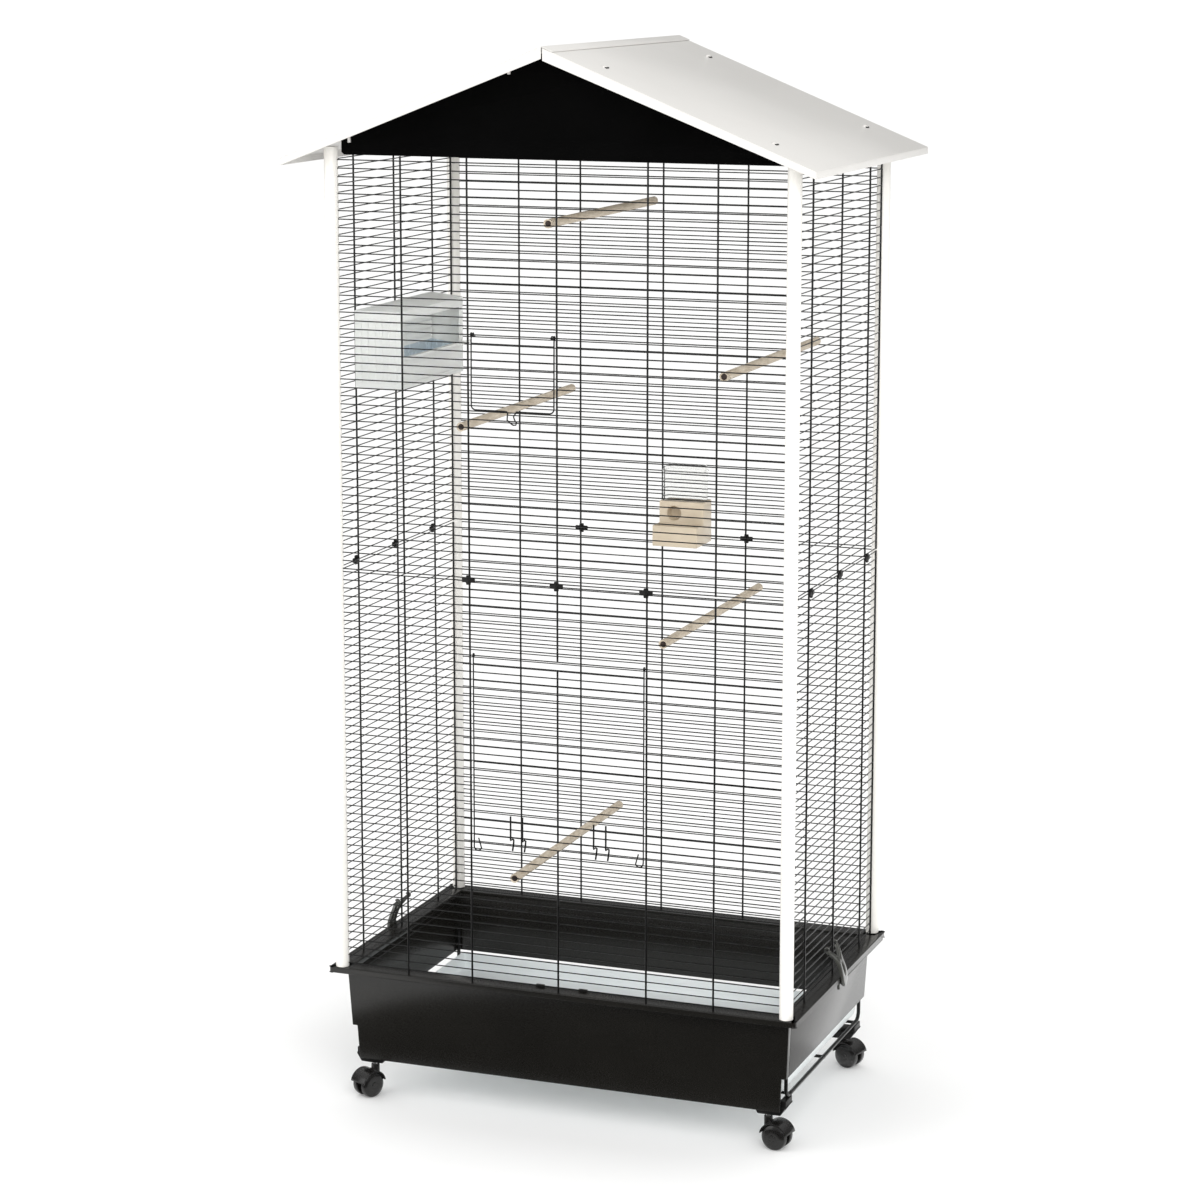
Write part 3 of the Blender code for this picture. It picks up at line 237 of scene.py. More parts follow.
def finishPiece(name, bm, material, body, nodes, smoothAngle=35, flip=True):
    if flip:
        bmesh.ops.recalc_face_normals(bm, faces=bm.faces)
    mesh = bpy.data.meshes.new(name)
    bm.to_mesh(mesh)
    bm.free()
    piece = bpy.data.objects.new(name, mesh)
    bpy.context.scene.collection.objects.link(piece)
    mesh.materials.append(material)
    mesh.shade_smooth()
    mesh.set_sharp_from_angle(angle=math.radians(smoothAngle))
    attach(piece, body)
    if nodes:
        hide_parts(*nodes)
    return piece


def addRod(bm, start, end, radius, sides):
    start, end = Vector(start), Vector(end)
    along = end - start
    place = Matrix.Translation((start + end) / 2) @ along.to_track_quat("Z", "Y").to_matrix().to_4x4()
    return bmesh.ops.create_cone(
        bm, cap_ends=True, segments=sides, radius1=radius, radius2=radius, depth=along.length, matrix=place
    )["verts"]


def addWire(bm, path, radius, sides=8):  # one bent wire, its rings set at the mitre of every bend
    path = [Vector(point) for point in path]
    runs = [(b - a).normalized() for a, b in zip(path, path[1:])]
    facings = [runs[0]] + [(a + b).normalized() for a, b in zip(runs, runs[1:])] + [runs[-1]]
    place = Matrix.Translation(path[0]) @ runs[0].to_track_quat("Z", "Y").to_matrix().to_4x4()
    ring = bmesh.ops.create_circle(bm, cap_ends=False, segments=sides, radius=radius, matrix=place)["verts"]
    edges = edgesOf(ring)
    firstEdges = edges
    for here, after, facing, nextFacing in zip(path, path[1:], facings, facings[1:]):
        grown = bmesh.ops.extrude_edge_only(bm, edges=edges)["geom"]
        ring = newVerts(grown)
        edges = [item for item in grown if isinstance(item, bmesh.types.BMEdge)]
        bmesh.ops.translate(bm, verts=ring, vec=after - here)
        turn = facing.rotation_difference(nextFacing).to_matrix()
        bmesh.ops.rotate(bm, verts=ring, cent=after, matrix=turn)
    bmesh.ops.edgeloop_fill(bm, edges=firstEdges)
    bmesh.ops.edgeloop_fill(bm, edges=edges)


def arcPoints(centre, radius, start, end, steps):  # in a plane of two numbers, angles in degrees
    turns = [math.radians(start + (end - start) * i / steps) for i in range(steps + 1)]
    return [(centre[0] + radius * math.cos(t), centre[1] + radius * math.sin(t)) for t in turns]


def nodeCopy(node, whole=False):  # the CAD solid with its loose triangles merged
    bm = bmesh.new()
    bm.from_mesh(frame["nodes"][node].data)
    bmesh.ops.remove_doubles(bm, verts=bm.verts, dist=0.000002)
    if whole:  # only where no flat face has a hole in it
        bmesh.ops.dissolve_limit(bm, angle_limit=math.radians(0.6), verts=bm.verts, edges=bm.edges)
    else:
        flat = math.radians(0.6)
        bmesh.ops.join_triangles(bm, faces=bm.faces, angle_face_threshold=flat, angle_shape_threshold=math.pi)
    return bm


def roundEdges(bm, edges, width, segments=2):
    bmesh.ops.bevel(bm, geom=edges, offset=width, segments=segments, profile=0.5, affect="EDGES", material=-1)


def softenEdges(bm, width, segments=2, angle=40):
    sharp = [edge for edge in bm.edges if edge.is_manifold and edge.calc_face_angle() > math.radians(angle)]
    roundEdges(bm, sharp, width, segments)


def newVerts(geom):  # the corners among what an extrusion made
    return [item for item in geom if isinstance(item, bmesh.types.BMVert)]


def edgesOf(verts):
    return list({edge for vert in verts for edge in vert.link_edges})


def shift(x, y, z):
    return Matrix.Translation((x, y, z))


def stretch(x, y, z):
    return Matrix.Diagonal((x, y, z, 1))


def addBlock(bm, low, high, round=0.0005):  # a box with softened edges between two opposite corners
    low, high = Vector(low), Vector(high)
    place = Matrix.Translation((low + high) / 2) @ stretch(*[abs(side) for side in high - low])
    block = bmesh.ops.create_cube(bm, size=1, matrix=place)["verts"]
    roundEdges(bm, edgesOf(block), round)


wires = dict(
    pitch=0.0127, rows=50,
    rowRadius=0.0009, rowSides=6,
    uprightRadius=0.0015, uprightSides=10,
    weldSink=0.0002,  # the uprights are pressed a little into the rows
    frontBays=(-0.249, -0.142, 0, 0.142, 0.249),
    sideBays=(-0.148, 0, 0.148),
    intoPost=0.004,  # front and rear rows run into the slotted posts
    upperOpening=(-0.142, 0, 20, 29),
    lowerOpening=(-0.142, 0.142, 17, 40),
)


def addRow(bm, start, end):
    addRod(bm, start, end, wires["rowRadius"], wires["rowSides"])


def addUpright(bm, start, end):
    addRod(bm, start, end, wires["uprightRadius"], wires["uprightSides"])


def panelPlace(level, side):
    low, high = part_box(f"{level}_panel_{side}")
    radius, out = wires["rowRadius"], {"front": -1, "left": -1, "rear": 1, "right": 1}[side]
    across = 1 if side in ("front", "rear") else 0
    plane = (high[across] - radius) if out < 0 else (low[across] + radius)
    if level == "lower":
        start = high.z - radius - wires["pitch"] * (wires["rows"] - 1)
    else:
        start = low.z + radius

    def at(along, height, outward=0.0):
        if across:
            return Vector((along, plane + out * outward, height))
        return Vector((plane + out * outward, along, height))

    return at, start, low, high


def makePanel(level, side):
    at, start, low, high = panelPlace(level, side)
    bm = bmesh.new()
    wide = side in ("front", "rear")
    half = high.x if wide else high.y
    reach = half + wires["intoPost"] if wide else half - wires["uprightRadius"]
    opening = wires[level + "Opening"] if side == "front" else None
    for row in range(wires["rows"]):
        height = start + wires["pitch"] * row
        spans = [(-reach, reach)]
        if opening and opening[2] < row < opening[3]:
            spans = [(-reach, opening[0] + 0.001), (opening[1] - 0.001, reach)]
        for a, b in spans:
            addRow(bm, at(a, height), at(b, height))
    outward = wires["rowRadius"] + wires["uprightRadius"] - wires["weldSink"]
    bays = wires["frontBays"] if wide else wires["sideBays"]
    for along in bays:
        ends = [(low.z, high.z)]
        if opening and level == "lower" and along == 0:
            sill, lintel = [start + wires["pitch"] * row for row in opening[2:]]
            ends = [(low.z, sill), (lintel, high.z)]
        for a, b in ends:
            addUpright(bm, at(along, a, outward), at(along, b, outward))
    if not wide:
        edge = half - wires["uprightRadius"]
        for along in (-edge, edge):
            addUpright(bm, at(along, low.z), at(along, high.z))
    node = f"{level}_panel_{side}"
    finishPiece(f"wires_{level}_{side}", bm, wireBlack, "cage", [node])


for panelLevel in ("lower", "upper"):
    for panelSide in ("front", "rear", "left", "right"):
        makePanel(panelLevel, panelSide)
print("wire panels made")


door = dict(
    frameRadius=0.0011, loopRadius=0.0027, loopTurn=300, coilRadius=0.0027, coilWide=0.0052,
    corner=0.007, outward=0.0019, overLastRow=0.0022,
    handleWidth=0.0125, handleLeft=0.0015, handleTurn=0.003,
    handle=(  # across, down and out from the left end of the finger loop
        (0.0004, 0.0125, 0.003), (0.0050, 0.0160, 0.004), (0.0105, 0.0192, 0.0046), (0.0148, 0.0190, 0.0046),
        (0.0160, 0.0160, 0.004), (0.0128, 0.0122, 0.0034), (0.0105, 0.0070, 0.0026),
    ),
    catchSpacing=0.135, catchWidth=0.0195, catchTop=0.034, catchRadius=0.0014,
    catch=(  # across, up and out from the kink of a catch
        (0.0006, 0.0, 0.0010), (0.0046, 0.0034, 0.0042), (0.0066, 0.0020, 0.0035), (0.0052, -0.0040, 0.0010),
        (0.0026, -0.0165, -0.0012),
    ),
    curlWidth=0.0122, curlHeight=0.0172,
)


def hingeLoop(x, y, z, down):  # a loop once round the hinge row, then down the side of the door
    radius = door["loopRadius"]
    points = [(x, y + b, z + a) for a, b in arcPoints((0, 0), radius, 180 - door["loopTurn"], 180, 14)]
    return points + [(x, y - door["outward"] * 0.4, z - radius - 0.003), (x, y - door["outward"], down)]


def cornerBend(y, centre, radius, start, end, steps):  # a bend in the plane of a door
    return [(p, y, q) for p, q in arcPoints(centre, radius, start, end, steps)]


def makeUpperDoor():
    hinge = Vector(joints["upper_door_hinge"]["pos_m"])
    low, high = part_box("upper_door")
    radius, out = door["frameRadius"], door["outward"]
    left, right = low.x + radius, high.x - radius
    rows = wires["upperOpening"][3] - wires["upperOpening"][2]
    bottom = hinge.z - wires["pitch"] * rows + door["overLastRow"]
    y = hinge.y - out
    bm = bmesh.new()
    corner = door["corner"]
    leftSide = hingeLoop(left, hinge.y, hinge.z, bottom + corner)
    rightSide = hingeLoop(right, hinge.y, hinge.z, bottom + corner)
    middle = (left + right) / 2 - door["handleLeft"]
    a, b = middle - door["handleWidth"] / 2, middle + door["handleWidth"] / 2
    turn = door["handleTurn"]
    path = leftSide + cornerBend(y, (left + corner, bottom + corner), corner, 180, 270, 5)
    path += cornerBend(y, (a - turn, bottom - turn), turn, 90, 10, 4)
    path += [(a + across, y - out, bottom - down) for across, down, out in door["handle"]]
    path += cornerBend(y, (b + turn, bottom - turn), turn, 175, 90, 4)
    path += cornerBend(y, (right - corner, bottom + corner), corner, 270, 360, 5)
    addWire(bm, path + rightSide[::-1][1:], radius, 8)
    for x, way in ((left, 1), (right, -1)):  # each side ends in a close turn round the row
        turns = [arcPoints((0, 0), door["coilRadius"], start, start + 330, 11) for start in (0, 360)]
        coil = [point for turn in turns for point in turn]
        step = way * door["coilWide"] / len(coil)
        path = [(x + step * n, hinge.y + p, hinge.z + q) for n, (p, q) in enumerate(coil)]
        addWire(bm, path, radius * 0.9, 8)
    for row in range(1, rows):
        height = hinge.z - wires["pitch"] * row
        addRow(bm, (left, hinge.y, height), (right, hinge.y, height))
    finishPiece("upper_door_wires", bm, wireBlack, "door_upper", ["upper_door"])


def makeLowerDoor():
    hinge = Vector(joints["lower_door_hinge"]["pos_m"])
    low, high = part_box("lower_door")
    radius, out = door["frameRadius"], door["outward"]
    rows = wires["lowerOpening"][3] - wires["lowerOpening"][2]
    lastRow = hinge.z - wires["pitch"] * (rows - 1)
    y = hinge.y - out
    bm = bmesh.new()
    for side in (-1, 1):
        x = high.x - radius if side > 0 else low.x + radius
        curlEnd = lastRow - door["curlHeight"] - 0.001
        path = hingeLoop(x, hinge.y, hinge.z, curlEnd + 0.004)
        half = door["curlWidth"] / 2
        path += [(x - side * (half - p), y - 0.0006, q) for p, q in arcPoints((0, curlEnd), half, 0, -165, 7)]
        path += [(x - side * door["curlWidth"] * 0.62, y - 0.0008, curlEnd + door["curlHeight"] * 0.8)]
        addWire(bm, path, radius, 8)
    for row in range(1, rows):
        height = hinge.z - wires["pitch"] * row
        addRow(bm, (low.x + radius, hinge.y, height), (high.x - radius, hinge.y, height))
    middleY = hinge.y - wires["rowRadius"] - wires["uprightRadius"] + wires["weldSink"]
    addUpright(bm, (0, middleY, lastRow), (0, middleY, hinge.z - wires["pitch"]))
    for centre in (-door["catchSpacing"] / 2, door["catchSpacing"] / 2):  # two sprung catches
        half = door["catchWidth"] / 2
        for side in (-1, 1):
            x = centre + side * half
            kink = lastRow - 0.0035
            path = [(x, y, lastRow + door["catchTop"]), (x, y - 0.0002, kink + 0.002)]
            path += [(x + across, y - out, kink + up) for across, up, out in door["catch"]]
            addWire(bm, path, door["catchRadius"], 6)
    finishPiece("lower_door_wires", bm, wireBlack, "door_lower", ["lower_door"])


makeUpperDoor()
makeLowerDoor()
print("doors made")


clip = dict(armRound=0.0012, boss=0.0036, bossRise=0.0008, bossRound=0.0005)


def makeClip(node):
    bm = nodeCopy(node, True)
    softenEdges(bm, clip["armRound"], 3)
    low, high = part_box(node)
    centre = (low + high) / 2
    thin = 1 if high.y - low.y < high.x - low.x else 0
    out = 1 if centre[thin] > 0 else -1
    face = Vector(centre)
    face[thin] = (high if out > 0 else low)[thin]
    tip = Vector(face)
    tip[thin] += out * clip["bossRise"]
    boss = addRod(bm, centre, tip, clip["boss"], 16)
    reach = clip["boss"] * 1.05
    rim = [edge for edge in edgesOf(boss) if all((vert.co - tip).length < reach for vert in edge.verts)]
    roundEdges(bm, rim, clip["bossRound"])
    finishPiece(node.replace("clip", "cross_clip"), bm, fittingBlack, "cage", [node])


for nodeName in sorted(frame["nodes"]):
    if nodeName.startswith("clip_"):
        makeClip(nodeName)
print("clips made")


post = dict(wall=0.0012, sides=48, round=0.0005)


def makePost(node):
    low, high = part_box(node)
    centre = (low + high) / 2
    radius = (high.x - low.x) / 2
    bm = bmesh.new()
    place = shift(centre.x, centre.y, low.z)
    ring = bmesh.ops.create_circle(bm, cap_ends=False, segments=post["sides"], radius=radius, matrix=place)
    wall = bmesh.ops.extrude_edge_only(bm, edges=edgesOf(ring["verts"]))["geom"]
    bmesh.ops.translate(bm, verts=newVerts(wall), vec=(0, 0, high.z - low.z))
    bmesh.ops.recalc_face_normals(bm, faces=bm.faces)
    bmesh.ops.solidify(bm, geom=list(bm.faces), thickness=post["wall"])
    bmesh.ops.recalc_face_normals(bm, faces=bm.faces)
    softenEdges(bm, post["round"], 2, 60)
    finishPiece(node.replace("post", "cream_post"), bm, creamPaint, "cage", [node], 50)


for nodeName in sorted(frame["nodes"]):
    if nodeName.startswith("post_"):
        makePost(nodeName)
print("posts made")


roof = dict(
    slope=0.405, eaveDrop=0.0105, ridgeDrop=0.018, sheet=0.0015, fold=0.0006,
    tabAcross=(0.0744, 0.332), tabDeep=0.231, tabWidth=0.014, tabLength=0.0085, tabRise=0.0028,
    hookWidth=0.004, hookDeep=0.006, hookDrop=0.011,
)


def eavePlace(side):  # the outer end of a sheet's top
    low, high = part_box("roof_" + side)
    return max(high.x, -low.x), low.z + roof["eaveDrop"]


def roofHeight(across):
    reach, height = eavePlace("right")
    return height + roof["slope"] * (reach - across)


def makeRoof(side):
    sign = 1 if side == "right" else -1
    low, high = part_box("roof_" + side)
    reach, eaveHeight = eavePlace(side)
    crest = reach - (high.z - eaveHeight) / roof["slope"]
    path = [(crest, high.z), (reach, eaveHeight)]
    if side == "left":
        lap = -high.x
        path.insert(0, (lap, high.z + roof["slope"] * (lap - crest)))
    bm = bmesh.new()
    ring = [bm.verts.new((sign * x, low.y, z)) for x, z in path]
    edges = [bm.edges.new(pair) for pair in zip(ring, ring[1:])]
    far = bmesh.ops.extrude_edge_only(bm, edges=edges)["geom"]
    bmesh.ops.translate(bm, verts=newVerts(far), vec=(0, high.y - low.y, 0))

    def isHanging(edge):  # the ends of the slope and the eave turn down into a fascia
        middle = (edge.verts[0].co + edge.verts[1].co) / 2
        return edge.is_boundary and sign * middle.x > crest + 0.0001

    hanging = [edge for edge in bm.edges if isHanging(edge)]
    for edge in hanging:
        grown = bmesh.ops.extrude_edge_only(bm, edges=[edge])["geom"]
        for vert in newVerts(grown):
            share = (reach - sign * vert.co.x) / (reach - crest)
            vert.co.z -= roof["eaveDrop"] + share * (roof["ridgeDrop"] - roof["eaveDrop"])
    bmesh.ops.remove_doubles(bm, verts=bm.verts, dist=0.00001)
    bmesh.ops.recalc_face_normals(bm, faces=bm.faces)
    top = max(bm.faces, key=lambda face: face.calc_area())
    if top.normal.z < 0:
        bmesh.ops.reverse_faces(bm, faces=bm.faces)
    bmesh.ops.solidify(bm, geom=list(bm.faces), thickness=roof["sheet"])
    softenEdges(bm, roof["fold"], 3, 30)
    for across in roof["tabAcross"]:  # hooks under the sheet
        for deep in (-roof["tabDeep"], roof["tabDeep"]):
            top = roofHeight(across) - roof["sheet"]
            size = Vector((roof["hookWidth"], roof["hookDeep"], roof["hookDrop"]))
            centre = Vector((sign * across, deep, top - roof["hookDrop"] / 2))
            addBlock(bm, centre - size / 2, centre + size / 2)
    finishPiece("sheet_roof_" + side, bm, roofPaint, "cage", ["roof_" + side], 25)


def makeRoofTabs(side):  # pressed bridges over the hooks, each slot drawn as a black block of painted shade
    sign = 1 if side == "right" else -1
    bm = bmesh.new()
    slotShades = bmesh.new()
    for across in roof["tabAcross"]:
        for deep in (-roof["tabDeep"], roof["tabDeep"]):
            tilt = Matrix.Rotation(sign * math.atan(roof["slope"]), 4, "Y")
            place = shift(sign * across, deep, roofHeight(across)) @ tilt
            size = stretch(roof["tabLength"] / 2, roof["tabWidth"] / 2, roof["tabRise"])
            bmesh.ops.create_uvsphere(bm, u_segments=20, v_segments=10, radius=1, matrix=place @ size)
            # each slot is a black block at one end of the bridge, painted shade in place of an opening
            gap = stretch(roof["tabLength"] * 0.5, roof["tabWidth"] * 0.8, roof["tabRise"] * 0.9)
            slotShadePlace = place @ shift(sign * roof["tabLength"] * 0.36, 0, 0) @ gap
            bmesh.ops.create_cube(slotShades, size=1, matrix=slotShadePlace)
    roundEdges(slotShades, list(slotShades.edges), 0.0003)
    finishPiece("roof_bridges_" + side, bm, roofPaint, "cage", None)
    finishPiece("roof_slot_shades_" + side, slotShades, gableBlack, "cage", None)


for roofSide in ("left", "right"):
    makeRoof(roofSide)
    makeRoofTabs(roofSide)
for nodeName in ("gable_front", "gable_rear"):
    gableMesh = nodeCopy(nodeName)
    softenEdges(gableMesh, 0.0004, 2)
    finishPiece("sheet_" + nodeName, gableMesh, gableBlack, "cage", [nodeName])
print("roof made")


tub = dict(
    rimDepth=0.009, rimWide=0.031, rimRound=0.006, edge=0.0011,
    wallInX=0.019, wallInY=0.0285, taper=0.005, wall=0.003, frontOpen=0.0128,
    postGap=0.0003, wallRise=0.003, wallRound=0.0008,
    ledgeDrop=0.012, ledgeWide=0.0026, ledgeHigh=0.0018, sink=0.0006,
    lipFrom=0.032, lipToCorner=0.012, lipInset=0.0002, lipWide=0.004, lipHigh=0.003, lipRound=0.0008,
    lugAcross=0.035, lugWide=0.014, lugDeep=0.0045, lugHigh=0.0042, lugRoot=0.002, lugRound=0.0009,
)
drawer = dict(
    faceEdge=0.0008,
    trayLow=0.0006, trayWall=0.0025, trayTaper=0.003, trayBend=0.006, trayRound=0.0006,
)
foot = dict(edge=0.0010)


def makeRim(bm, high, rimLow, rimTop):
    place = shift(0, 0, (rimTop + rimLow) / 2) @ stretch(high.x * 2, high.y * 2, tub["rimDepth"])
    bmesh.ops.create_cube(bm, size=1, matrix=place)
    corners = [e for e in bm.edges if abs(e.verts[0].co.z - e.verts[1].co.z) > 0.001]
    roundEdges(bm, corners, tub["rimRound"], 4)
    flats = [f for f in bm.faces if abs(f.normal.z) > 0.9]
    bmesh.ops.inset_individual(bm, faces=flats, thickness=tub["rimWide"])
    inner = [e for f in flats for e in f.edges]
    bmesh.ops.delete(bm, geom=flats, context="FACES_ONLY")
    bmesh.ops.bridge_loops(bm, edges=inner)
    bmesh.ops.recalc_face_normals(bm, faces=bm.faces)
    softenEdges(bm, tub["edge"], 3, 60)


def makeWalls(x, y, front, top, bottom):  # three walls that taper down, open at the drawer's side
    bm = bmesh.new()
    ring = [bm.verts.new((a, b, top)) for a, b in ((-x, front), (-x, y), (x, y), (x, front))]
    edges = [bm.edges.new(pair) for pair in zip(ring, ring[1:])]
    grown = bmesh.ops.extrude_edge_only(bm, edges=edges)["geom"]
    taper = tub["taper"]
    for vert in newVerts(grown):
        vert.co.x -= math.copysign(taper, vert.co.x)
        vert.co.y -= math.copysign(taper, vert.co.y)
        vert.co.z = bottom
    bmesh.ops.recalc_face_normals(bm, faces=bm.faces)
    rear = max(bm.faces, key=lambda face: face.calc_center_median().y)
    if rear.normal.y < 0:
        bmesh.ops.reverse_faces(bm, faces=bm.faces)
    bmesh.ops.solidify(bm, geom=list(bm.faces), thickness=tub["wall"])
    softenEdges(bm, tub["wallRound"], 2, 60)
    walls = bpy.data.meshes.new("tub walls")
    bm.to_mesh(walls)
    bm.free()
    return walls


def makeTub():
    low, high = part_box("base_tub")
    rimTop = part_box("post_front_left")[0].z - tub["postGap"]
    rimLow = rimTop - tub["rimDepth"]
    bm = bmesh.new()
    makeRim(bm, high, rimLow, rimTop)
    x, y = high.x - tub["wallInX"], high.y - tub["wallInY"]
    front = tub["frontOpen"] - y
    walls = makeWalls(x, y, front, rimLow + tub["wallRise"], low.z)
    bm.from_mesh(walls)
    bpy.data.meshes.remove(walls)

    top = rimLow - tub["ledgeDrop"]
    bottom = top - tub["ledgeHigh"]
    inX, inY = x - tub["wall"] - tub["postGap"], y - tub["wall"] - tub["postGap"]
    wide, sink = tub["ledgeWide"], tub["sink"]
    addBlock(bm, (-inX, inY - wide, bottom), (inX, inY + sink, top))
    addBlock(bm, (-inX, front, bottom), (wide - inX, inY, top))
    addBlock(bm, (inX - wide, front, bottom), (inX + sink, inY, top))
    lipEnds = tub["lipFrom"], high.y - tub["lipToCorner"]
    lipFace = high.x - tub["lipInset"], high.x - tub["lipWide"]
    lugFace = tub["rimWide"] - high.y - tub["lugDeep"]
    half = tub["lugWide"] / 2
    for side in (-1, 1):
        lipStart = (side * lipFace[0], lipEnds[0], rimLow - tub["lipHigh"])
        addBlock(bm, lipStart, (side * lipFace[1], lipEnds[1], rimLow + 0.001), tub["lipRound"])
        middle = side * tub["lugAcross"]
        lugStart = (middle - half, lugFace - tub["lugDeep"], rimTop - tub["lugRoot"])
        addBlock(bm, lugStart, (middle + half, lugFace, rimTop + tub["lugHigh"]), tub["lugRound"])
    finishPiece("tub_moulding", bm, baseBlack, "cage", ["base_tub"], 35, False)


def makeSoft(node, name, material, body, width):
    bm = nodeCopy(node)
    softenEdges(bm, width, 3)
    finishPiece(name, bm, material, body, [node])


def makeTray():
    low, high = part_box("drawer_tray")
    top = high.z - drawer["trayLow"]
    middle = (low.z + top) / 2
    bm = bmesh.new()
    size = stretch(high.x - low.x, high.y - low.y, top - low.z)
    bmesh.ops.create_cube(bm, size=1, matrix=shift(0, (low.y + high.y) / 2, middle) @ size)
    for vert in bm.verts:
        if vert.co.z < middle:
            vert.co.x -= math.copysign(drawer["trayTaper"], vert.co.x)
            vert.co.y -= drawer["trayTaper"] if vert.co.y > 0 else 0
    lid = max(bm.faces, key=lambda face: face.calc_center_median().z)
    bmesh.ops.delete(bm, geom=[lid], context="FACES_ONLY")
    roundEdges(bm, [e for e in bm.edges if not e.is_boundary], drawer["trayBend"], 4)
    bmesh.ops.recalc_face_normals(bm, faces=bm.faces)
    floor = min(bm.faces, key=lambda face: face.calc_center_median().z)
    if floor.normal.z > 0:
        bmesh.ops.reverse_faces(bm, faces=bm.faces)
    bmesh.ops.solidify(bm, geom=list(bm.faces), thickness=drawer["trayWall"])
    softenEdges(bm, drawer["trayRound"], 2, 60)
    finishPiece("drawer_pan", bm, trayGrey, "drawer", ["drawer_tray"], 40, False)


makeTub()
makeSoft("drawer_front", "drawer_face", baseBlack, "drawer", drawer["faceEdge"])
makeTray()
for corner in ("front_left", "front_right", "rear_left", "rear_right"):
    makeSoft("foot_" + corner, "caster_foot_" + corner, fittingBlack, "cage", foot["edge"])

chassis = dict(rodRadius=0.003, crossRadius=0.0025, bend=0.014, weld=1.18, crossSpots=(-0.17, 0.005, 0.18))


def makeChassis():
    low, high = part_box("chassis")
    radius, bend = chassis["rodRadius"], chassis["bend"]
    bm = bmesh.new()
    z = low.z + radius
    front, rear = low.y + radius, high.y - radius
    for x in (low.x + radius, high.x - radius):
        path = [(x, front, high.z)]
        path += [(x, a, b) for a, b in arcPoints((front + bend, z + bend), bend, 180, 270, 8)]
        path += [(x, a, b) for a, b in arcPoints((rear - bend, z + bend), bend, 270, 360, 8)]
        addWire(bm, path + [(x, rear, high.z)], radius, 16)
    for y in chassis["crossSpots"]:
        addRod(bm, (low.x + radius, y, z), (high.x - radius, y, z), chassis["crossRadius"], 14)
        for x in (low.x + radius, high.x - radius):  # weld beads
            weld = radius * chassis["weld"]
            bmesh.ops.create_uvsphere(bm, u_segments=12, v_segments=8, radius=weld, matrix=shift(x, y, z))
    finishPiece("chassis_rods", bm, wireBlack, "cage", ["chassis"])


makeChassis()
print("base made")


caster = dict(
    trail=0.015, wheelRadius=0.020, wheelWidth=0.012, gap=0.010,
    face=((0, 0.0002), (0.0045, 0), (0.0052, -0.0009), (0.0125, -0.0004), (0.0165, -0.0014)),
    axleRadius=0.0032, shoulder=0.0008,
    housingRadius=0.0066, housingLow=0.0282, housingTop=0.0487, housingMiddle=0.0372, housingRound=0.0008,
    hoodGap=0.0012, hoodWall=0.0020, hoodStart=14, hoodEnd=168, hoodInset=0.0006, hoodRound=0.0006,
    plate=0.008, hub=0.0075, neck=0.004, neckOver=0.001,
    pinRadius=0.004, pinIn=0.003, pinOut=0.006, pinRound=0.0003,
    washer=0.0016, washerLow=0.0012, washerHigh=0.002,
)


def extrudeOutline(bm, points, start, depth):  # an outline in x and z, drawn along y
    outline = bm.faces.new([bm.verts.new((x, start, z)) for x, z in points])
    grown = bmesh.ops.extrude_face_region(bm, geom=[outline], use_keep_orig=True)["geom"]
    bmesh.ops.translate(bm, verts=newVerts(grown), vec=(0, depth, 0))


def makeWheels(corner, toWorld):
    radius, inner = caster["wheelRadius"], caster["gap"] / 2
    outer = inner + caster["wheelWidth"]
    shoulder, axle = caster["shoulder"], caster["axleRadius"]
    profile = [(r, outer + y) for r, y in caster["face"]]
    profile += [(radius - shoulder, outer - shoulder * 4), (radius, outer - 0.0055)]
    profile += [(radius, inner + shoulder * 2), (radius - shoulder * 1.5, inner)]
    profile += [(axle, inner), (axle - 0.0002, 0)]
    profile += [(r, -y) for r, y in profile[::-1][1:]]
    bm = bmesh.new()
    ring = [bm.verts.new((0, y, r)) for r, y in profile]
    edges = [bm.edges.new(pair) for pair in zip(ring, ring[1:])]
    bmesh.ops.spin(
        bm, geom=ring + edges, cent=(0, 0, 0), axis=(0, 1, 0), angle=math.tau, steps=40, use_merge=True
    )
    bmesh.ops.remove_doubles(bm, verts=bm.verts, dist=0.00001)
    bmesh.ops.transform(bm, matrix=toWorld, verts=bm.verts)
    node = "caster_wheels_" + corner
    finishPiece("twin_wheels_" + corner, bm, wheelBlack, "roll_" + corner, [node], 30)


def makeYoke(corner, toWorld, axleHeight):
    outer = caster["gap"] / 2 + caster["wheelWidth"] - caster["hoodInset"]
    inside = caster["wheelRadius"] + caster["hoodGap"]
    bm = bmesh.new()
    arc = arcPoints((0, 0), inside + caster["hoodWall"], caster["hoodStart"], caster["hoodEnd"], 18)
    arc += arcPoints((0, 0), inside, caster["hoodEnd"], caster["hoodStart"], 18)
    extrudeOutline(bm, arc, -outer, 2 * outer)
    bmesh.ops.recalc_face_normals(bm, faces=bm.faces)
    softenEdges(bm, caster["hoodRound"], 2, 50)
    stem, neckTop = -caster["trail"], inside + caster["neckOver"]
    neck = arcPoints((0, 0), caster["hub"], -150, 40, 10)
    neck += [(caster["neck"], neckTop), (stem - caster["neck"], neckTop)]
    extrudeOutline(bm, neck, -caster["plate"] / 2, caster["plate"])
    bottom, top = caster["housingLow"] - axleHeight, caster["housingTop"] - axleHeight
    housing = addRod(bm, (stem, 0, bottom), (stem, 0, top), caster["housingRadius"], 28)
    middle = caster["housingMiddle"] - axleHeight
    tops = [edge for edge in edgesOf(housing) if all(vert.co.z > middle for vert in edge.verts)]
    roundEdges(bm, tops, caster["housingRound"])
    bmesh.ops.transform(bm, matrix=toWorld, verts=bm.verts)
    node = "caster_yoke_" + corner
    finishPiece("caster_hood_" + corner, bm, wheelBlack, "swivel_" + corner, [node])


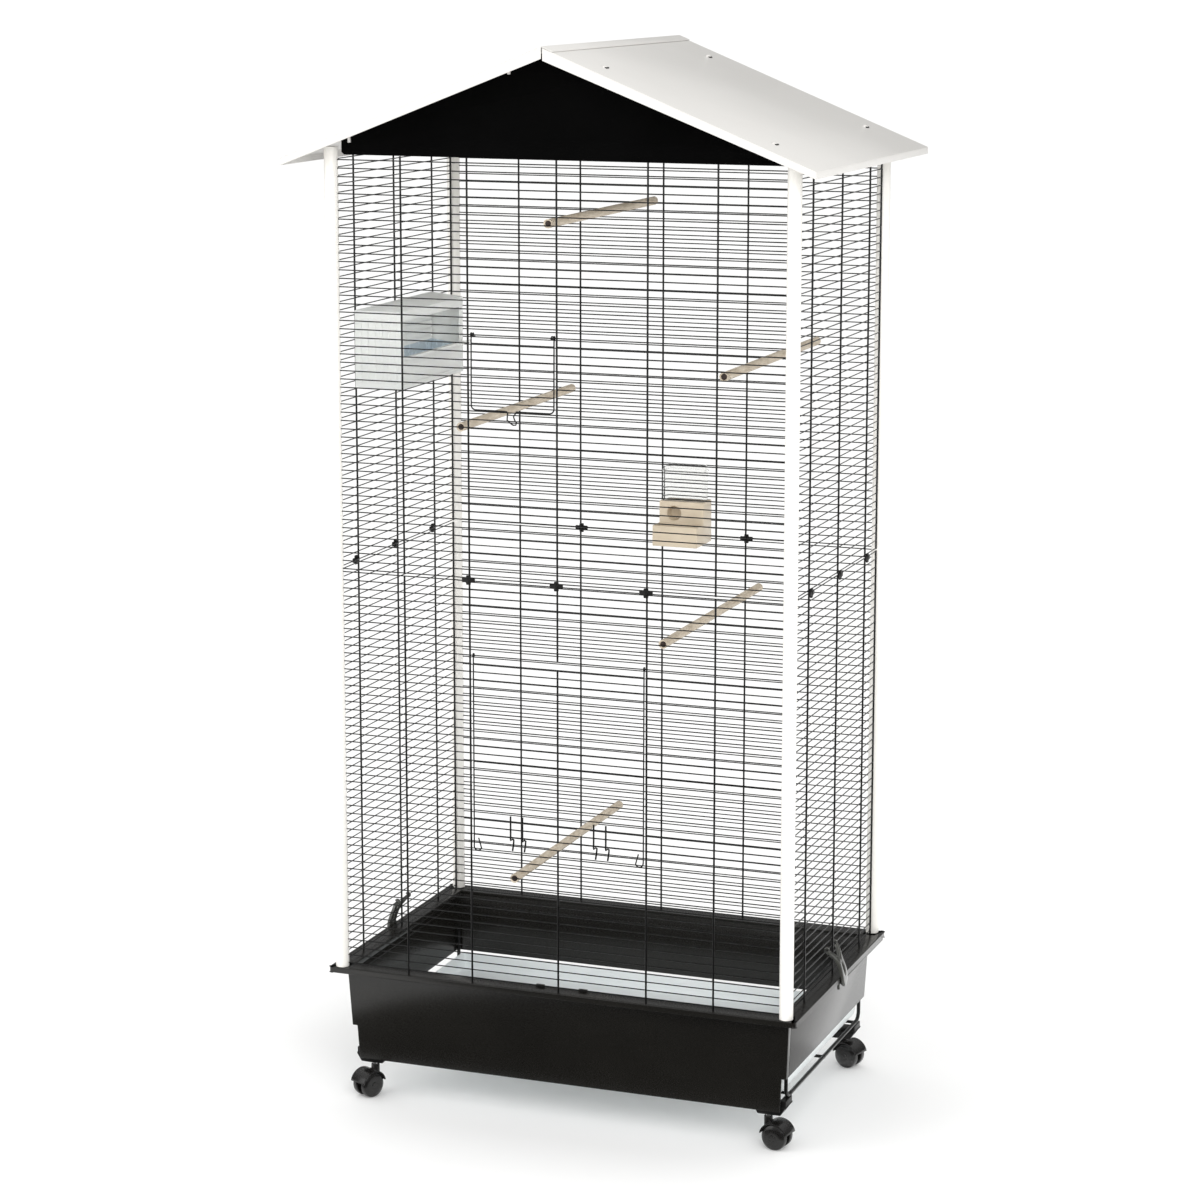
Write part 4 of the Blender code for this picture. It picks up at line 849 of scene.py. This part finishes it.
def makePin(corner, stem):  # the steel stem and its washer under the foot
    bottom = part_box("foot_" + corner)[0].z
    radius = caster["pinRadius"]
    bm = bmesh.new()
    start = caster["housingTop"] - caster["pinIn"]
    addRod(bm, (*stem, start), (*stem, bottom + caster["pinOut"]), radius, 24)
    washer = radius + caster["washer"]
    addRod(bm, (*stem, bottom - caster["washerLow"]), (*stem, bottom + caster["washerHigh"]), washer, 24)
    softenEdges(bm, caster["pinRound"], 2, 50)
    finishPiece("caster_pin_" + corner, bm, pinSteel, "swivel_" + corner, None)


def makeCaster(corner):
    axle = Vector(joints["roll_" + corner]["pos_m"])
    stem = Vector(joints["swivel_" + corner]["pos_m"])
    side = Vector(joints["roll_" + corner]["axis"]).normalized()
    ahead = Vector((axle.x - stem.x, axle.y - stem.y, 0)).normalized()
    turn = Matrix((ahead, side, Vector((0, 0, 1)))).transposed().to_4x4()
    toWorld = Matrix.Translation(axle) @ turn  # x trails, y lies along the axle
    makeWheels(corner, toWorld)
    makeYoke(corner, toWorld, axle.z)
    makePin(corner, (stem.x, stem.y))


for corner in ("front_left", "front_right", "rear_left", "rear_right"):
    makeCaster(corner)
print("casters made")


latch = dict(
    thick=0.0058, edge=0.0015, ringAcross=0.021, ring=0.0030, ringWire=0.0019, toeWire=0.0022,
    outer=(  # distance down the lever, then half its width
        (0.0, 0.0248), (0.003, 0.0246), (0.006, 0.0233), (0.009, 0.0213), (0.012, 0.0190), (0.015, 0.0168),
        (0.018, 0.0148), (0.022, 0.0131), (0.026, 0.0121), (0.031, 0.0118), (0.036, 0.0121), (0.041, 0.0124),
        (0.046, 0.0124), (0.051, 0.0118), (0.056, 0.0104), (0.060, 0.0084), (0.064, 0.0054), (0.0670, 0.0018),
    ),
    inner=(
        (0.0, 0.0178), (0.003, 0.0166), (0.006, 0.0142), (0.009, 0.0112), (0.012, 0.0081), (0.015, 0.0050),
        (0.0178, 0.0012),
    ),
    slot=(
        (0.0275, 0.0006), (0.030, 0.0020), (0.034, 0.0031), (0.038, 0.0035), (0.043, 0.0032),
        (0.0465, 0.0021), (0.0490, 0.0007),
    ),
    spine=(  # out and up from the hinge
        (0.0026, 0.0000), (0.0078, -0.0060), (0.0124, -0.0132), (0.0164, -0.0210), (0.0198, -0.0292),
        (0.0224, -0.0374), (0.0240, -0.0455), (0.0247, -0.0535), (0.0246, -0.0615), (0.0238, -0.0680),
    ),
    toe=((0.0216, -0.0610), (0.0158, -0.0570), (0.0132, -0.0590), (0.0124, -0.0640), (0.0128, -0.0682)),
)


def onSpine(distance):  # a point on the lever's bent middle line
    points = latch["spine"]
    for (a, b), (c, d) in zip(points, points[1:]):
        step = math.hypot(c - a, d - b)
        if distance <= step or (c, d) == points[-1]:
            share = distance / step
            return a + (c - a) * share, b + (d - b) * share
        distance -= step
    return points[-1]


def makeLatch(side):
    sign = 1 if side == "right" else -1
    node = "latch_" + side
    hinge = Vector(joints[node + "_hinge"]["pos_m"])
    bm = bmesh.new()
    outline = list(latch["outer"]) + [(s, -w) for s, w in latch["outer"][::-1]]
    outline += [(s, -w) for s, w in latch["inner"]] + [(s, w) for s, w in latch["inner"][::-1]]
    hole = list(latch["slot"]) + [(s, -w) for s, w in latch["slot"][::-1]]
    edges = []
    for loop in (outline, hole):
        ring = [bm.verts.new((s, w, 0)) for s, w in loop]
        edges += [bm.edges.new(pair) for pair in zip(ring, ring[1:] + ring[:1])]
    bmesh.ops.triangle_fill(bm, use_beauty=True, use_dissolve=False, edges=edges)
    for vert in bm.verts:
        out, up = onSpine(vert.co.x)
        vert.co = (hinge.x + sign * out, hinge.y + vert.co.y, hinge.z + up)
    bmesh.ops.recalc_face_normals(bm, faces=bm.faces)
    if sum(face.normal.x for face in bm.faces) * sign < 0:
        bmesh.ops.reverse_faces(bm, faces=bm.faces)
    bmesh.ops.solidify(bm, geom=list(bm.faces), thickness=latch["thick"])
    softenEdges(bm, latch["edge"], 3, 60)
    ring = arcPoints((0, 0), latch["ring"], 20, 330, 16)
    for across in (-latch["ringAcross"], latch["ringAcross"]):
        addWire(bm, [hinge + Vector((sign * a, across, b)) for a, b in ring], latch["ringWire"], 8)
    addWire(bm, [hinge + Vector((sign * a, 0, b)) for a, b in latch["toe"]], latch["toeWire"], 10)
    finishPiece("fork_" + node, bm, latchBlackPaintedSheen, "lever_" + side, [node], 50)


makeLatch("left")
makeLatch("right")
print("latches made")


perch = dict(
    ribs=46, ribDepth=0.0003, rim=0.0020, recess=0.0016,
    endShadeRadius=0.0046, endShadeIn=0.0008, endShadeLong=0.004,
)


def makePerch(node):
    low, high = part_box(node)
    centre = (low + high) / 2
    radius = (high.x - low.x) / 2
    length = high.y - low.y
    bm = bmesh.new()
    rings = perch["ribs"] * 2
    place = Matrix.Translation((centre.x, low.y, centre.z)) @ Matrix.Rotation(math.radians(-90), 4, "X")
    bmesh.ops.create_cone(
        bm, cap_ends=True, segments=24, radius1=radius, radius2=radius, depth=length,
        matrix=place @ shift(0, 0, length / 2),
    )
    longEdges = [e for e in bm.edges if abs((e.verts[0].co - e.verts[1].co).y) > length * 0.9]
    bmesh.ops.subdivide_edges(bm, edges=longEdges, cuts=rings - 1)
    step = length / rings
    for number in range(1, rings):
        if number % 2:
            ring = [v for v in bm.verts if abs(v.co.y - low.y - number * step) < step * 0.2]
            shrink = 1 - perch["ribDepth"] / radius
            about = shift(-centre.x, 0, -centre.z)
            bmesh.ops.scale(bm, verts=ring, vec=(shrink, 1, shrink), space=about)
    caps = [f for f in bm.faces if len(f.verts) > 4]
    bmesh.ops.inset_individual(bm, faces=caps, thickness=perch["rim"])
    for cap in caps:
        bmesh.ops.translate(bm, verts=list(cap.verts), vec=-cap.normal * perch["recess"])
    finishPiece(node + "_ribbed", bm, perchBeige, "cage", [node], 40)
    # a dark disc just inside each end, painted shade of the hollow perch
    endShades = bmesh.new()
    for end, way in ((low.y, 1), (high.y, -1)):
        start = end + way * perch["endShadeIn"]
        stop = start + way * perch["endShadeLong"]
        addRod(endShades, (centre.x, start, centre.z), (centre.x, stop, centre.z), perch["endShadeRadius"], 20)
    softenEdges(endShades, 0.0004, 2, 50)
    finishPiece(node + "_end_shade", endShades, perchEndShade, "cage", None, 40)


for number in range(1, 6):
    makePerch(f"perch_{number}")
print("perches made")


feeder = dict(
    edge=0.0010, hopperEdge=0.0004,
    band=0.0022, bandOutX=0.0022, bandOutY=0.0018, bandDown=0.0085, bandRound=0.0068, bandWall=0.0014,
    seedIn=0.0027, seedLow=0.0026, seedHigh=0.0165, seedDeep=0.0302, seedWave=0.0016,
)

makeSoft("feeder_base", "feeder_moulding", feederBeige, "cage", feeder["edge"])


def makeReservoir():
    bm = nodeCopy("feeder_reservoir")
    softenEdges(bm, feeder["hopperEdge"], 2, 50)
    finishPiece("feeder_hopper", bm, clearWall, "cage", ["feeder_reservoir"], 40)
    low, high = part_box("feeder_reservoir")
    band = bmesh.new()
    size = stretch(high.x - low.x + feeder["bandOutX"], high.y - low.y + feeder["bandOutY"], feeder["band"])
    spot = shift((low.x + high.x) / 2, (low.y + high.y) / 2, high.z - feeder["bandDown"])
    bmesh.ops.create_cube(band, size=1, matrix=spot @ size)
    upright = [e for e in band.edges if abs(e.verts[0].co.z - e.verts[1].co.z) > 0.001]
    roundEdges(band, upright, feeder["bandRound"], 5)
    lids = [f for f in band.faces if abs(f.normal.z) > 0.9]
    bmesh.ops.inset_individual(band, faces=lids, thickness=feeder["bandWall"])
    bmesh.ops.bridge_loops(band, edges=[e for f in lids for e in f.edges])
    bmesh.ops.delete(band, geom=lids, context="FACES_ONLY")
    finishPiece("feeder_hopper_band", band, clearWall, "cage", None, 40)


makeReservoir()


def makeSeed():
    low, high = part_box("feeder_base")
    bm = bmesh.new()
    inset = feeder["seedIn"]
    a = Vector((low.x + inset, low.y + inset, low.z + feeder["seedLow"]))
    b = Vector((high.x - inset, low.y + feeder["seedDeep"], low.z + feeder["seedHigh"]))
    bmesh.ops.create_cube(bm, size=1, matrix=Matrix.Translation((a + b) / 2) @ stretch(*(b - a)))
    bmesh.ops.subdivide_edges(bm, edges=bm.edges, cuts=7, use_grid_fill=True)
    top = [v for v in bm.verts if v.co.z > b.z - 0.0001]
    for vert in top:
        vert.co.z += feeder["seedWave"] * math.sin(vert.co.x * 190) * math.cos(vert.co.y * 260)
    finishPiece("feeder_seed", bm, seedMix, "cage", None, 60)


makeSeed()
print("feeder made")


bath = dict(
    edge=0.0007, basinEdge=0.0004,
    ribs=6, ribWidth=0.0050, ribRise=0.0009, ribLow=0.008, ribHigh=0.012,
    sillDrop=0.0705, sillThick=0.0022, sillOut=0.014, sillFront=0.006, sillRear=0.052,
    lip=0.0026, lipWide=0.0016, seamLow=0.004, seamHigh=0.0075, seamOut=0.0016, root=0.0004,
)


def makeBath():
    bm = nodeCopy("bath_hood")
    softenEdges(bm, bath["edge"])
    finishPiece("bath_shell", bm, bathWhite, "cage", ["bath_hood"])
    basin = nodeCopy("bath_basin")
    softenEdges(basin, bath["basinEdge"])
    finishPiece("bath_pan", basin, basinBlue, "cage", ["bath_basin"])
    low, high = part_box("bath_hood")
    trim = bmesh.new()
    root = bath["root"]
    for number in range(bath["ribs"]):  # moulded ribs down the near end
        x = low.x + (high.x - low.x) * (number + 0.75) / (bath["ribs"] + 0.5)
        half = bath["ribWidth"] / 2
        start = (x - half, low.y - bath["ribRise"], low.z + bath["ribLow"])
        addBlock(trim, start, (x + half, low.y + root, high.z - bath["ribHigh"]))
    sill = high.z - bath["sillDrop"]
    front, rear = low.y + bath["sillFront"], high.y - bath["sillRear"]
    out = high.x + bath["sillOut"]
    addBlock(trim, (high.x - root, front, sill - bath["sillThick"]), (out, rear, sill), 0.0008)
    addBlock(trim, (out - bath["lipWide"], front, sill - 0.0005), (out, rear, sill + bath["lip"]), 0.0006)
    seam = (high.x + bath["seamOut"], rear, low.z + bath["seamHigh"])
    addBlock(trim, (high.x - root, front, low.z + bath["seamLow"]), seam, 0.0006)
    finishPiece("bath_trim", trim, bathWhite, "cage", None, 40)


makeBath()
print("bath made")


studio = dict(
    floorRadius=60.0, floorColour=(0.95, 0.95, 0.948), skyColour=(1.0, 1.0, 0.995), skyStrength=1.12,
    glossLow=0.07, glossHigh=0.95,
    keyPower=75, keySize=2.4, keyPlace=(2.2, -3.6, 2.6),
    fillPower=40, fillSize=3.0, fillPlace=(-3.4, -2.8, 1.6),
    stripPower=4.2, stripSize=1.7, stripPlace=(1.12, 1.0, 0.006),
    flagLow=(-0.5, -4.0), flagHigh=(2.6, -0.26), flagHeight=0.004,
)
view = dict(place=(1.7369, -4.6474, 1.7950), pitch=10.274, yaw=20.710, lens=97.375, shiftY=-0.06)


def makeFloor():
    bm = bmesh.new()
    bmesh.ops.create_circle(bm, cap_ends=True, segments=96, radius=studio["floorRadius"])
    mesh = bpy.data.meshes.new("studio_floor")
    bm.to_mesh(mesh)
    bm.free()
    floor = bpy.data.objects.new("studio_floor", mesh)
    bpy.context.scene.collection.objects.link(floor)
    material, tree, shader = newMaterial("studio floor")
    tone = noiseOn(tree, objectPoints(tree), 0.8)
    bright = studio["floorColour"]
    dim = tuple(channel * 0.985 for channel in bright)
    tree.links.new(rampOn(tree, tone, [(0.35, dim), (0.65, bright)]), shader.inputs["Base Color"])
    shader.inputs["Roughness"].default_value = 0.85
    shader.inputs["Specular IOR Level"].default_value = 0.1
    mesh.materials.append(material)


def makeFlag():  # a black card beside the front, seen only by reflections
    bm = bmesh.new()
    (x0, y0), (x1, y1) = studio["flagLow"], studio["flagHigh"]
    place = shift((x0 + x1) / 2, (y0 + y1) / 2, studio["flagHeight"]) @ stretch(x1 - x0, y1 - y0, 1)
    bmesh.ops.create_grid(bm, x_segments=2, y_segments=2, size=0.5, matrix=place)
    mesh = bpy.data.meshes.new("studio_flag")
    bm.to_mesh(mesh)
    bm.free()
    mesh.materials.append(gableBlack)
    flag = bpy.data.objects.new("studio_flag", mesh)
    flag.visible_camera = False
    flag.visible_diffuse = False
    flag.visible_shadow = False
    flag.visible_transmission = False
    bpy.context.scene.collection.objects.link(flag)


def addSoftLight(name, power, size, place, target):
    light = bpy.data.lights.new(name, "AREA")
    light.energy = power
    light.size = size
    lamp = bpy.data.objects.new(name, light)
    lamp.location = place
    lamp.rotation_euler = (Vector(target) - Vector(place)).to_track_quat("-Z", "Y").to_euler()
    bpy.context.scene.collection.objects.link(lamp)
    return lamp


def lightStudio():
    world = bpy.data.worlds.new("studio")
    world.use_nodes = True
    tree = world.node_tree
    background = tree.nodes["Background"]
    background.inputs["Color"].default_value = (*studio["skyColour"], 1)
    heading = tree.nodes.new("ShaderNodeTexCoord")
    split = tree.nodes.new("ShaderNodeSeparateXYZ")
    overhead = rangeOn(tree, split.outputs["Z"], studio["glossLow"], studio["glossHigh"], 0.15, 0.85)
    path = tree.nodes.new("ShaderNodeLightPath")
    mix = tree.nodes.new("ShaderNodeMix")
    mix.inputs["A"].default_value = studio["skyStrength"]
    tree.links.new(heading.outputs["Generated"], split.inputs["Vector"])
    tree.links.new(path.outputs["Is Glossy Ray"], mix.inputs["Factor"])
    tree.links.new(overhead, mix.inputs["B"])
    tree.links.new(mix.outputs["Result"], background.inputs["Strength"])
    bpy.context.scene.world = world
    middle = (0, 0, 0.8)
    addSoftLight("key", studio["keyPower"], studio["keySize"], studio["keyPlace"], middle)
    addSoftLight("fill", studio["fillPower"], studio["fillSize"], studio["fillPlace"], middle)
    x, y, z = studio["stripPlace"]
    strip = addSoftLight("strip", studio["stripPower"], studio["stripSize"], (x, y, z), (x, y, z + 1))
    strip.visible_camera = False
    strip.visible_diffuse = False
    strip.visible_transmission = False
    bpy.context.scene.view_settings.view_transform = "Standard"


def aimCamera():
    camera = bpy.data.cameras.new("studio camera")
    camera.lens = view["lens"]
    camera.sensor_width = 36
    camera.shift_y = view["shiftY"]
    camera.clip_end = 200
    holder = bpy.data.objects.new("studio camera", camera)
    holder.location = view["place"]
    holder.rotation_euler = (math.radians(90 - view["pitch"]), 0, math.radians(view["yaw"]))
    bpy.context.scene.collection.objects.link(holder)
    bpy.context.scene.camera = holder


makeFloor()
makeFlag()
lightStudio()
aimCamera()
print("studio ready")
